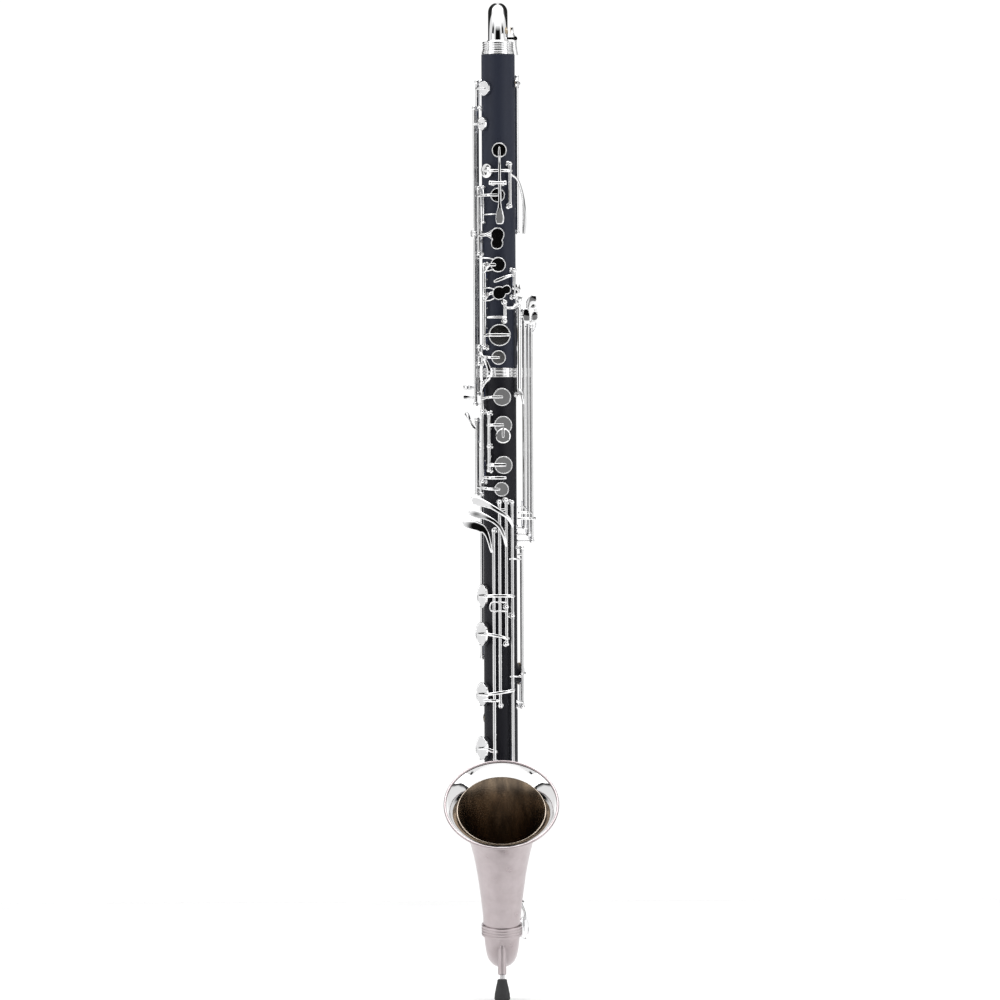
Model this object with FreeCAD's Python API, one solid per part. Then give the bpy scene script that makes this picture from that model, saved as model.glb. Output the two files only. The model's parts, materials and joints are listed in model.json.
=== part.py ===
"""Bass clarinet to low C: two keyed body joints, curved neck with mouthpiece, upturned bell and floor peg.

Millimetres, +Z up along the body. The axes are set out with the body axis at x = y = 0, the front of the
instrument towards -Y, and z = 0 at the foot of the floor peg; every shape is then moved so that the origin
is the foot of the peg. Angles round the body are in degrees from the front, positive towards +X.
"""
import FreeCAD, Part
import math
import os
from FreeCAD import Matrix, Placement, Rotation, Vector

# ---------------------------------------------------------------- driving dimensions
BODY_R = 19.75            # outer radius of both body joints
BORE_R = 11.75            # main bore
BODY_TOP = 1115.0         # top of the upper joint
JOINT_TOP = 744.5         # top of the metal ring between the joints
JOINT_LOW = 733.5         # foot of that ring, where the lower joint's own surface starts
BODY_FOOT = 132.0         # foot of the lower joint
TENON_LENGTH = 25.0
SEAT_RISE = 1.2           # tone-hole seats stand this far above the body's front line
SEAT_R = BODY_R + SEAT_RISE
PAD_GAP = 0.12            # closed pad to seat
PAD_THICK = 1.7
CUP_HEIGHT = 3.0
AXIS_R = 24.6             # usual distance of a hinge line from the body axis
TUBE_R = 2.0              # hinge tube, outside
ROD_R = 1.0               # steel hinge rod
RUN_GAP = 0.06            # rod to tube
END_GAP = 0.18            # hinge tube to the flats of its posts
BALL_R = 2.9              # post head
BALL_FLAT = 2.0           # half width of a post head between its flats

BOW_R = 31.0              # bend radius of the bell's bow
BOW_Z = 86.0              # height of the bow's bend centre
BOW_TURN = 166.4          # degrees the bow turns the tube through
BELL_WALL = 1.2
FLARE_LENGTH = 170.0
FLARE_LEAN = 35.0         # extra forward lean that the flare gains along its length
MOUTH_R = 66.0            # outer radius at the bell's mouth
PEG_Y = -76.0             # the peg's axis, in front of the body axis
STRAP_RING_R = 5.5

NECK_R = 11.6
NECK_BEND = 37.0
NECK_TURN = 135.0
COLLAR_LOW = 1119.2
COLLAR_TOP = 1130.0
NECK_CONE = 52.0          # straight, tapering end of the neck

STATION = 2.6             # spacing of the sections along a lever

X = Vector(1, 0, 0)
Y = Vector(0, 1, 0)
Z = Vector(0, 0, 1)
ORIGIN_SHIFT = Vector(0, -PEG_Y, 0)

KEYS = {}                 # name: joint data, filled as the keys are made
NODES = {}                # name: shape


# ---------------------------------------------------------------- placing things round the body
def radial(theta):
    """Unit vector out of the body at an angle round it."""
    t = math.radians(theta)
    return Vector(math.sin(t), -math.cos(t), 0)


def tangent(theta):
    """Unit vector round the body, towards a larger angle."""
    t = math.radians(theta)
    return Vector(math.cos(t), math.sin(t), 0)


def at(theta, r, z):
    return radial(theta) * r + Z * z


def frame_placement(origin, along, side):
    """Placement that carries local +Z to `along` and local +X to `side`."""
    up = Vector(along).normalize()
    across = Vector(side).normalize()
    third = up.cross(across)
    m = Matrix(across.x, third.x, up.x, origin.x,
               across.y, third.y, up.y, origin.y,
               across.z, third.z, up.z, origin.z, 0, 0, 0, 1)
    return Placement(m)


def placed(shape, origin, along, side):
    out = shape.copy()
    out.Placement = frame_placement(origin, along, side).multiply(out.Placement)
    return out


def on_body(shape, theta, r, z):
    """Local +Z points out of the body, local +X round it and local +Y along it."""
    return placed(shape, at(theta, r, z), radial(theta), tangent(theta))


def cyl(p0, p1, r):
    d = p1.sub(p0)
    return Part.makeCylinder(r, d.Length, p0, d)


def turned(profile):
    """Solid of revolution about local Z from (radius, height) points; a 3-item point is an arc's mid point."""
    edges = []
    last = Vector(profile[0][0], 0, profile[0][1])
    i = 1
    while i < len(profile):
        p = Vector(profile[i][0], 0, profile[i][1])
        if len(profile[i]) == 3:
            end = Vector(profile[i + 1][0], 0, profile[i + 1][1])
            edges.append(Part.Arc(last, p, end).toShape())
            last = end
            i += 2
        else:
            edges.append(Part.LineSegment(last, p).toShape())
            last = p
            i += 1
    first = Vector(profile[0][0], 0, profile[0][1])
    if last.sub(first).Length > 1e-6:
        edges.append(Part.LineSegment(last, first).toShape())
    face = Part.Face(Part.Wire(edges))
    return face.revolve(Vector(), Z, 360)


def one_solid(shapes):
    """Fused into one solid."""
    out = shapes[0].multiFuse(shapes[1:]) if len(shapes) > 1 else shapes[0]
    if len(out.Solids) > 1:
        out = max(out.Solids, key=lambda s: s.Volume)
    elif out.Solids:
        out = out.Solids[0]
    return out


def shell_ring(r_in, r_out, z0, z1):
    return Part.makeCylinder(r_out, z1 - z0, Z * z0).cut(Part.makeCylinder(r_in, z1 - z0, Z * z0))


# ---------------------------------------------------------------- levers
def section(centre, ahead, wide, w, t):
    """Closed rounded outline, half width w along `wide` and half thickness t, square to `ahead`."""
    n = Vector(ahead).normalize()
    a = wide.sub(n * wide.dot(n))
    a.normalize()
    b = n.cross(a)
    power = 2.0 / 2.5
    points = []
    for k in range(12):
        ang = math.tau * k / 12 + math.pi / 12
        c, s = math.cos(ang), math.sin(ang)
        u = w * math.copysign(abs(c) ** power, c)
        v = t * math.copysign(abs(s) ** power, s)
        points.append(centre.add(a * u).add(b * v))
    curve = Part.BSplineCurve()
    curve.interpolate(Points=points, PeriodicFlag=True)
    return Part.Wire([curve.toShape()])


def lever(points, sizes, wide, round_ends=True):
    """Smooth bar through `points`, with (half width, half thickness) at each and its width along `wide`."""
    curve = Part.BSplineCurve()
    curve.interpolate(Points=points)
    knots = [curve.parameter(p) for p in points]
    length = curve.length()
    tip = 0.55 * (sizes[0][0] + sizes[-1][0]) * 0.5
    count = max(3, round((length - 2 * tip) / STATION))
    inner = [tip + (length - 2 * tip) * k / count for k in range(count + 1)]
    ends = [tip * f for f in (0.0, 0.12, 0.4)] if round_ends else [0.0]
    stations = ends + inner + [length - s for s in reversed(ends)]
    wires = []
    for s in stations:
        u = curve.parameterAtDistance(s, curve.FirstParameter)
        k = max(0, min(len(knots) - 2, sum(1 for knot in knots if knot < u - 1e-9) - 1))
        share = min(1.0, max(0.0, (u - knots[k]) / (knots[k + 1] - knots[k])))
        share = share * share * (3 - 2 * share)
        w = sizes[k][0] + (sizes[k + 1][0] - sizes[k][0]) * share
        t = sizes[k][1] + (sizes[k + 1][1] - sizes[k][1]) * share
        near = min(s, length - s) / tip
        if round_ends and near < 1:
            drop = math.sqrt(max(0.0, 1 - (1 - near) ** 2))
            w *= 0.45 + 0.55 * drop
            t *= 0.6 + 0.4 * drop
        wires.append(section(curve.value(u), Vector(curve.tangent(u)[0]), wide, w, t))
    solid = Part.makeLoft(wires, True, True)
    if solid.Volume < 0:
        solid.reverse()
    return solid


# ---------------------------------------------------------------- posts, rods and hinge tubes
def post(theta, z, r_axis=AXIS_R, along=Z):
    """Turned post with a flatted ball head, drilled for the hinge rod and fitted to the body's surface."""
    sunk = BODY_R - 3.5
    rise = r_axis - sunk
    neck = rise - BALL_R * 0.8
    shape = turned([(0, 0), (3.3, 0), (3.3, BODY_R + 0.75 - sunk), (2.7, BODY_R + 1.15 - sunk),
                    (1.75, BODY_R + 1.5 - sunk), (1.5, neck - 0.6), (2.0, neck + 0.3), (0, neck + 0.5)])
    centre = at(theta, r_axis, z)
    shape = on_body(shape, theta, sunk, z).fuse(Part.makeSphere(BALL_R, centre, along))
    for side in (1, -1):
        slab = Part.makeCylinder(BALL_R + 1, BALL_R, centre.add(along * (BALL_FLAT * side)), along * side)
        shape = shape.cut(slab)
    hole = Part.makeCylinder(ROD_R + 0.03, 4 * BALL_R, centre.sub(along * (2 * BALL_R)), along)
    body = Part.makeCylinder(BODY_R + 0.02, 60, Z * (z - 30))
    return one_solid([shape.cut(hole).cut(body)])


class Hinge:
    """A hinge line: a steel rod, its posts, and the clear stretches between them for hinge tubes."""

    def __init__(self, theta, z_posts, r=AXIS_R):
        self.theta, self.r, self.z_posts = theta, r, sorted(z_posts)

    def point(self, z):
        return at(self.theta, self.r, z)

    def posts(self):
        return [post(self.theta, z, self.r) for z in self.z_posts]

    def rod(self):
        low, high = self.z_posts[0], self.z_posts[-1]
        return cyl(self.point(low - BALL_FLAT), self.point(high + BALL_FLAT), ROD_R)

    def span(self, index):
        """Free stretch between post `index` and the next one up."""
        clear = BALL_FLAT + END_GAP
        return self.z_posts[index] + clear, self.z_posts[index + 1] - clear

    def tube(self, z0, z1, r_out=TUBE_R):
        return cyl(self.point(z0), self.point(z1), r_out)

    def bore(self):
        low, high = self.z_posts[0] - 20, self.z_posts[-1] + 20
        return cyl(self.point(low), self.point(high), ROD_R + RUN_GAP)


# ---------------------------------------------------------------- pad cups
def cup_profile(radius, domed):
    """Half section of a pad cup, open below for its pad, with its top flat inside a bead or domed."""
    under = PAD_THICK + 0.05
    skirt = 0.7
    inner = radius - 0.6
    profile = [(0, under), (inner, under), (inner, skirt), (radius, skirt)]
    if domed:
        profile += [(radius, CUP_HEIGHT - 1.0), (radius * 0.72, CUP_HEIGHT + 0.05, "arc"),
                    (0.4, CUP_HEIGHT + 0.4),
                    (0, CUP_HEIGHT + 0.4)]
    else:
        top = CUP_HEIGHT
        profile += [(radius, top - 0.5), (radius - 0.55, top + 0.25, "arc"), (radius - 1.1, top - 0.35),
                    (0, top - 0.35)]
    return profile


def cup(theta, z, radius, domed=False, seat_r=SEAT_R):
    return on_body(turned(cup_profile(radius, domed)), theta, seat_r + PAD_GAP, z)


def plateau(theta, z, lobes, seat_r=SEAT_R):
    """Finger plate over a cup: joined discs (x, z offset, radius) with a raised bead round a sunk top."""
    plates, wells = [], []
    for dx, dz, radius in lobes:
        low, high = PAD_THICK + 0.05, CUP_HEIGHT + 0.2
        plates.append(Part.makeCylinder(radius, high - low, Vector(dx, dz, low)))
        wells.append(Part.makeCylinder(radius - 0.95, 1.0, Vector(dx, dz, high - 0.55)))
    plate = one_solid(plates)
    well = wells[0].multiFuse(wells[1:]) if len(wells) > 1 else wells[0]
    plate = plate.cut(well)
    skirt = turned(cup_profile(lobes[0][2], False)).common(Part.makeCylinder(60, PAD_THICK + 0.2))
    skirt.translate(Vector(lobes[0][0], lobes[0][1], 0))
    return on_body(one_solid([plate, skirt]), theta, seat_r + PAD_GAP, z)


def cup_point(theta, z, u, lift=0.0, seat_r=SEAT_R):
    """Point on a cup's top plane, u mm round from its centre."""
    return at(theta, seat_r + PAD_GAP + CUP_HEIGHT + lift, z).add(tangent(theta) * u)


def cup_arm(hinge, theta, z, radius, reach=0.55, z_root=None, over=0.0, width=1.5, tail=3.2, seat_r=SEAT_R):
    """Arm from a hinge tube round the body to a cup. `over` lifts its middle clear of what lies between."""
    side = 1 if theta > hinge.theta else -1
    z_root = z if z_root is None else z_root
    start = hinge.point(z_root)
    turn = abs(theta - hinge.theta)
    near_edge = turn - math.degrees(math.asin(min(0.9, (radius + 1.5) / (seat_r + CUP_HEIGHT))))
    points = [start.sub(tangent(hinge.theta) * (side * tail)),
              start.add(radial(hinge.theta) * (0.4 + over * 0.35))]
    sizes = [(width * 0.75, 0.8), (width + 0.35, 1.35)]
    steps = max(1, round(near_edge / 15))
    for k in range(1, steps):
        share = k / steps
        mid_theta = hinge.theta + side * near_edge * share
        sag = 1.0 + over * min(1.0, 5.0 * share, 3.0 * (1 - share) + 0.35)
        points.append(at(mid_theta, hinge.r + sag, z_root + (z - z_root) * share))
        sizes.append((width, 1.1))
    rim = radius + 0.6
    points.append(cup_point(theta, z, -side * rim, 0.35, seat_r))
    sizes.append((width, 1.05))
    tip = reach * radius
    points.append(cup_point(theta, z, side * (tip - rim) * 0.5, 0.4, seat_r))
    sizes.append((width * 1.05, 1.0))
    points.append(cup_point(theta, z, side * tip, 0.25, seat_r))
    sizes.append((width * 0.85, 0.75))
    return lever(points, sizes, Z)


def fork(theta, z, radius, side, spread=42.0, stem=7.0, seat_r=SEAT_R):
    """Two short branches from an arm's end to the rim of a finger plate."""
    out = []
    root = cup_point(theta, z, -side * (radius + stem), 0.1, seat_r)
    for turn in (spread, -spread):
        rim = cup_point(theta, z, -side * (radius - 0.5) * math.cos(math.radians(turn)), -0.1, seat_r)
        rim = rim.add(Z * ((radius - 0.5) * math.sin(math.radians(turn))))
        mid = (root + rim) * 0.5 + Z * (math.copysign(0.6, -turn))
        out.append(lever([root, mid, rim], [(0.9, 0.9), (0.9, 0.9), (1.0, 0.9)], Z))
    return out


# ---------------------------------------------------------------- keys
def opening_sign(point, axis, target, outward):
    """+1 if a positive turn about the axis carries `target` outward."""
    move = axis.cross(target.sub(point))
    return 1 if move.dot(outward) > 0 else -1


def add_key(name, solids, point, axis, lifts, out, opens, stands_open, parent="instrument", bore=None):
    """Makes a key from its pieces in the closed position.

    lifts and out: the pad's place and the way it lifts. opens: degrees from closed to open.
    A key that stands open is turned to its open place; its joint then closes it.
    """
    body = one_solid(solids)
    if bore is not None:
        body = one_solid([body.cut(bore)])
    sign = opening_sign(point, axis, lifts, out)
    sense = sign
    if stands_open:
        body.rotate(point, axis, sign * opens)
        sense = -sign
    KEYS[name] = {"point": point, "axis": axis * sense, "range": opens, "parent": parent}
    NODES[name] = [body]


# ---------------------------------------------------------------- tone holes and bodies
TONE_HOLES = []           # (angle, z, cup radius, part)


def tone_hole(theta, z, radius, part):
    TONE_HOLES.append((theta, z, radius, part))


def chimney(theta, z, radius):
    """Raised seat for a pad, its flat rim a little smaller than the pad."""
    r = radius - 1.3
    shape = turned([(0, 0), (r + 0.5, 0), (r + 0.5, SEAT_R - 13.0 - 1.2), (r, SEAT_R - 13.0 - 0.5),
                    (r, SEAT_R - 13.0), (0, SEAT_R - 13.0)])
    return on_body(shape, theta, 13.0, z)


def tone_bore(theta, z, radius):
    r = max(2.2, (radius - 1.3) * 0.68)
    return cyl(at(theta, 5.0, z), at(theta, SEAT_R + 5, z), r)


def with_tone_holes(body, part, bore):
    holes = [h for h in TONE_HOLES if h[3] == part]
    body = body.multiFuse([chimney(t, z, r) for t, z, r, _ in holes])
    body = body.cut(bore)
    body = body.cut(Part.makeCompound([tone_bore(t, z, r) for t, z, r, _ in holes]))
    return one_solid([body])


def build_bodies():
    low = JOINT_TOP + 0.1
    upper = Part.makeCylinder(BODY_R, BODY_TOP - low, Z * low)
    upper = upper.fuse(Part.makeCylinder(15.0, TENON_LENGTH, Z * (low - TENON_LENGTH)))
    bore = Part.makeCylinder(BORE_R, 500, Z * 700)
    socket = Part.makeCylinder(14.05, 40, Z * (BODY_TOP - 27.5))
    upper = with_tone_holes(upper, "upper", bore.fuse(socket))
    NODES["upper_body"] = [upper]

    lower = Part.makeCylinder(BODY_R, JOINT_LOW - BODY_FOOT, Z * BODY_FOOT)
    lower = lower.fuse(Part.makeCylinder(17.4, JOINT_TOP - JOINT_LOW - 0.1, Z * JOINT_LOW))
    lower = lower.fuse(Part.makeCylinder(15.0, 22, Z * (BODY_FOOT - 22)))
    bore = Part.makeCylinder(BORE_R, 700, Z * 100)
    socket = Part.makeCylinder(16.0, 40, Z * (JOINT_TOP - TENON_LENGTH - 2))
    NODES["lower_body"] = [with_tone_holes(lower, "lower", bore.fuse(socket))]

    NODES["tenon_corks"] = [shell_ring(15.05, 15.9, low - 22, low - 4),
                            shell_ring(15.05, 15.45, BODY_FOOT - 19, BODY_FOOT - 4)]


def banded_ring(r_in, r_out, z0, z1, grooves, depth=0.5):
    """Metal ring with turned grooves and rounded edges."""
    edge = 0.6
    ring = turned([(r_in, z0), (r_out - edge, z0), (r_out - edge * 0.3, z0 + edge * 0.3, "arc"),
                   (r_out, z0 + edge),
                   (r_out, z1 - edge), (r_out - edge * 0.3, z1 - edge * 0.3, "arc"), (r_out - edge, z1),
                   (r_in, z1)])
    pitch = (z1 - z0) / (grooves + 1)
    for k in range(grooves):
        groove = Part.makeTorus(r_out + 0.35, 0.35 + depth, Z * (z0 + pitch * (k + 1)), Z)
        ring = ring.cut(groove)
    return ring


def build_rings():
    NODES["neck_socket_ring"] = [banded_ring(14.1, 19.2, BODY_TOP + 0.05, BODY_TOP + 3.9, 1, 0.35)]
    NODES["middle_ring"] = [banded_ring(17.45, BODY_R + 0.35, JOINT_LOW + 0.05, JOINT_TOP, 2)]
    NODES["bell_socket_ring"] = [banded_ring(16.55, BODY_R + 0.8, BODY_FOOT - 13.0, BODY_FOOT - 0.1, 3)]


# ---------------------------------------------------------------- neck and mouthpiece
def neck_end():
    """End of the neck's bend and the way the tube runs there."""
    t = math.radians(NECK_TURN)
    centre = Vector(0, NECK_BEND, COLLAR_TOP)
    point = centre.add(Vector(0, -NECK_BEND * math.cos(t), NECK_BEND * math.sin(t)))
    return point, Vector(0, math.sin(t), math.cos(t))


def neck_sweep(r):
    """Vertical, bent and tapering lengths of the neck for one radius at its foot."""
    disc = Part.Face(Part.Wire([Part.makeCircle(r, Z * COLLAR_TOP, Z)]))
    bend = disc.revolve(Vector(0, NECK_BEND, COLLAR_TOP), X, -NECK_TURN)
    point, ahead = neck_end()
    cone = Part.makeCone(r, r - 1.9, NECK_CONE, point, ahead)
    nose = cyl(point.add(ahead * NECK_CONE), point.add(ahead * (NECK_CONE + 16)), r - 1.9)
    return one_solid([bend, cone, nose])


def build_neck():
    wall = 1.0
    outer = neck_sweep(NECK_R)
    tenon = Part.makeCylinder(13.3, COLLAR_LOW + 3 - (BODY_TOP - 25), Z * (BODY_TOP - 25))
    flange = turned([(0, COLLAR_LOW + 0.5), (13.2, COLLAR_LOW + 0.5), (13.2, COLLAR_TOP + 0.4),
                     (12.95, COLLAR_TOP + 1.3, "arc"), (12.4, COLLAR_TOP + 1.9), (0, COLLAR_TOP + 1.9)])
    neck = one_solid([outer, tenon, flange])
    inner = neck_sweep(NECK_R - wall)
    neck = neck.cut(inner).cut(Part.makeCylinder(NECK_R - wall, 60, Z * (COLLAR_TOP - 60)))
    point, ahead = neck_end()
    inner_tip = NECK_R - 1.9 - wall
    neck = neck.cut(cyl(point.add(ahead * NECK_CONE), point.add(ahead * (NECK_CONE + 30)), inner_tip))
    vent = vent_frame()
    boss = placed(Part.makeCylinder(3.4, 6), vent["seat"].sub(vent["out"] * 6), vent["out"], X)
    boss = boss.cut(inner)
    hole = cyl(vent["seat"].sub(vent["out"] * 6), vent["seat"].add(vent["out"] * 4), 1.0)
    neck = one_solid([one_solid([neck, boss]).cut(hole)])
    NODES["neck_tube"] = [neck]
    ring = banded_ring(13.3, 18.3, COLLAR_LOW, COLLAR_TOP, 3, 0.7)
    NODES["neck_collar"] = [ring]
    cork = Part.makeCylinder(10.4, 13).cut(Part.makeCylinder(NECK_R - 1.85, 13))
    NODES["neck_corks"] = [shell_ring(13.35, 13.95, BODY_TOP - 22, BODY_TOP - 6),
                           placed(cork, point.add(ahead * (NECK_CONE + 1.5)), ahead, X)]


def vent_frame():
    """Seat of the small vent on the right-hand side of the neck, near its foot."""
    return {"seat": Vector(NECK_R + 3.0, 0, COLLAR_TOP + 15.0), "out": Vector(1, 0, 0)}


MOUTH_LENGTH = 92.0
TABLE_DEPTH = 10.0


def mouth_placement():
    point, ahead = neck_end()
    start = point.add(ahead * (NECK_CONE + 0.6))
    up = X.cross(ahead)
    m = Matrix(ahead.x, X.x, -up.x, start.x,
               ahead.y, X.y, -up.y, start.y,
               ahead.z, X.z, -up.z, start.z, 0, 0, 0, 1)
    return Placement(m)


def lying(profile):
    """Solid of revolution laid along local X."""
    out = turned(profile)
    out.rotate(Vector(), Y, 90)
    return out


def build_mouthpiece():
    place = mouth_placement()
    length = MOUTH_LENGTH
    outer = lying([(0, 0), (14.6, 0), (15.2, 1.2, "arc"), (15.2, 3.0), (14.6, 3.6), (14.6, 17.0),
                   (15.2, 17.8),
                   (15.2, 20.0), (14.5, 21.0), (13.9, 32.0), (13.3, 60.0), (12.9, length), (0, length)])
    beak = Part.makePolygon([Vector(50, 0, 14.5), Vector(66, 0, 7.2), Vector(length + 1, 0, -8.9),
                             Vector(length + 1, 0, 30), Vector(50, 0, 30), Vector(50, 0, 14.5)])
    beak = Part.Face(beak).extrude(Vector(0, 60, 0))
    beak.translate(Vector(0, -30, 0))
    outer = outer.cut(beak)
    outer = outer.cut(Part.makeBox(80, 60, 20, Vector(36, -30, -TABLE_DEPTH - 20)))
    for side in (1, -1):
        flank = Part.makePolygon([Vector(58, side * 14.5, 0), Vector(length + 2, side * 7.6, 0),
                                  Vector(length + 2, side * 30, 0), Vector(58, side * 30, 0),
                                  Vector(58, side * 14.5, 0)])
        flank = Part.Face(flank).extrude(Vector(0, 0, 60))
        flank.translate(Vector(0, 0, -30))
        outer = outer.cut(flank)
    bore = Part.makeCylinder(10.5, 17.5, Vector(), X).fuse(Part.makeCylinder(7.4, 44, Vector(10, 0, 0), X))
    window = Part.makeBox(36, 11, 9, Vector(length - 3.0 - 36, -5.5, -TABLE_DEPTH - 1))
    chamber = Part.makeBox(22, 9, 7, Vector(50, -4.5, -7))
    piece = one_solid([outer.cut(bore).cut(window).cut(chamber)])
    piece.Placement = place
    NODES["mouthpiece"] = [piece]

    top, tip = -TABLE_DEPTH - 0.03, length - 0.3
    reed = Part.makePolygon([Vector(37, 0, top), Vector(tip, 0, top), Vector(tip, 0, top - 0.25),
                             Vector(62, 0, top - 2.7), Vector(37, 0, top - 2.9), Vector(37, 0, top)])
    reed = Part.Face(reed).extrude(Vector(0, 14, 0))
    reed.translate(Vector(0, -7, 0))
    reed.Placement = place.multiply(reed.Placement)
    NODES["reed"] = [one_solid([reed])]

    band_r, band_t, x0, x1 = 15.0, 0.9, 38.0, 56.0
    band = lying([(band_r, x0), (band_r + band_t, x0), (band_r + band_t, x1), (band_r, x1)])
    band = band.cut(Part.makeBox(40, 5, 12, Vector(x0 - 2, -2.5, -band_r - 6)))
    lugs = []
    for side in (1, -1):
        for x in (x0 + 4, x1 - 4):
            lug = Part.makeBox(5.5, 1.8, 7.5, Vector(x - 2.75, 2.5 if side > 0 else -4.3, -band_r - 7.0))
            lug = lug.cut(Part.makeCylinder(1.3, 20, Vector(x, -10, -band_r - 3.9), Y))
            lugs.append(lug)
    band = one_solid([band] + lugs)
    band.Placement = place
    NODES["ligature"] = [band]
    screws = []
    for x in (x0 + 4, x1 - 4):
        shank = Part.makeCylinder(1.2, 14, Vector(x, -6, -band_r - 3.9), Y)
        head = Part.makeCylinder(3.2, 3.5, Vector(x, 8, -band_r - 3.9), Y)
        wing = Part.makeCylinder(1.9, 1.6, Vector(x, 6.4, -band_r - 3.9), Y)
        screw = one_solid([shank, head, wing])
        screw.Placement = place
        screws.append(screw)
    NODES["ligature_screws"] = screws


# ---------------------------------------------------------------- bell
def bow_point(turn):
    t = math.radians(turn)
    point = Vector(0, -BOW_R + BOW_R * math.cos(t), BOW_Z - BOW_R * math.sin(t))
    return point, Vector(0, -math.sin(t), -math.cos(t))


def flare_path(steps=170):
    """Centre line of the flare: list of (distance, point, direction)."""
    point, _ = bow_point(BOW_TURN)
    rows = []
    ds = FLARE_LENGTH / steps
    for i in range(steps + 1):
        s = i * ds
        lean = math.radians(180 - BOW_TURN + FLARE_LEAN * (s / FLARE_LENGTH) ** 2.2)
        ahead = Vector(0, -math.sin(lean), math.cos(lean))
        rows.append((s, Vector(point), ahead))
        point = point.add(ahead * ds)
    return rows


BOW_RADII = [(0, 14.2), (30, 15.0), (60, 16.1), (90, 17.5), (115, 18.7), (140, 20.0), (BOW_TURN, 21.2)]
FLARE_RADII = [(0, 21.2), (20, 22.2), (40, 24.2), (60, 26.7), (80, 29.6), (100, 33.3), (118, 37.4),
               (134, 42.0),
               (146, 46.6), (155, 51.5), (162, 57.0), (167, 62.0), (FLARE_LENGTH, MOUTH_R)]


def circle_wire(centre, ahead, r):
    circle = Part.Circle(Vector(), Z, r).toShape()
    wire = Part.Wire([circle])
    wire.Placement = frame_placement(centre, ahead, X)
    return wire


def bow_solid(extra):
    wires = []
    for turn, r in BOW_RADII:
        point, ahead = bow_point(turn)
        wires.append(circle_wire(point, ahead, r + extra))
    return Part.makeLoft(wires, True, False)


def flare_solid(extra):
    path = flare_path()
    wires = []
    for s, r in FLARE_RADII:
        _, point, ahead = path[round(s * (len(path) - 1) / FLARE_LENGTH)]
        wires.append(circle_wire(point, ahead, r + extra))
    return Part.makeLoft(wires, True, False)


BELL_VENT_THETA = 68.0
BELL_VENT_R = 26.0        # seat of the bell vent, from the body axis
BELL_VENT_Z = 82.8
VENT_CUP_R = 13.6


def build_bell():
    outer = bow_solid(0)
    sleeve = turned([(0, BOW_Z), (14.2, BOW_Z), (14.2, BOW_Z + 18), (16.4, BOW_Z + 22),
                     (16.4, BODY_FOOT - 0.15),
                     (0, BODY_FOOT - 0.15)])
    core = at(BELL_VENT_THETA, 2.0, BELL_VENT_Z)
    seat = at(BELL_VENT_THETA, BELL_VENT_R, BELL_VENT_Z)
    neck = cyl(core, seat, VENT_CUP_R - 2.4)
    outer = one_solid([outer, sleeve, neck])
    inner = bow_solid(-BELL_WALL)
    inner_sleeve = turned([(0, BOW_Z - 0.01), (13.0, BOW_Z - 0.01), (13.0, BODY_FOOT - 22.4),
                           (15.5, BODY_FOOT - 22.3), (15.5, BODY_FOOT + 5), (0, BODY_FOOT + 5)])
    vent_bore = cyl(core, at(BELL_VENT_THETA, BELL_VENT_R + 5, BELL_VENT_Z), VENT_CUP_R - 4.2)
    bow = outer.cut(inner).cut(inner_sleeve).cut(vent_bore)
    NODES["bell_bow"] = [one_solid([bow])]

    flare = flare_solid(0).cut(flare_solid(-BELL_WALL))
    _, mouth, ahead = flare_path()[-1]
    NODES["bell_flare"] = [one_solid([flare])]
    bead = Part.makeTorus(MOUTH_R + 0.1, 1.5, mouth.add(ahead * 1.2), ahead)
    bead = bead.cut(flare_solid(0.03))
    NODES["bell_rim"] = [one_solid([bead])]

    _, foot, foot_ahead = flare_path()[0]
    length = 13.0
    ring = banded_ring(22.55, 24.0, 0, length, 3, 0.45)
    ring = placed(ring, foot.sub(foot_ahead * 1.5), foot_ahead, X)
    inside = placed(Part.makeCylinder(22.6, length), foot.sub(foot_ahead * 1.5), foot_ahead, X)
    liner = inside.cut(bow_solid(0.03)).cut(flare_solid(0.03))
    ring = one_solid([ring, liner])
    NODES["bell_ferrule"] = [ring]


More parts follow.
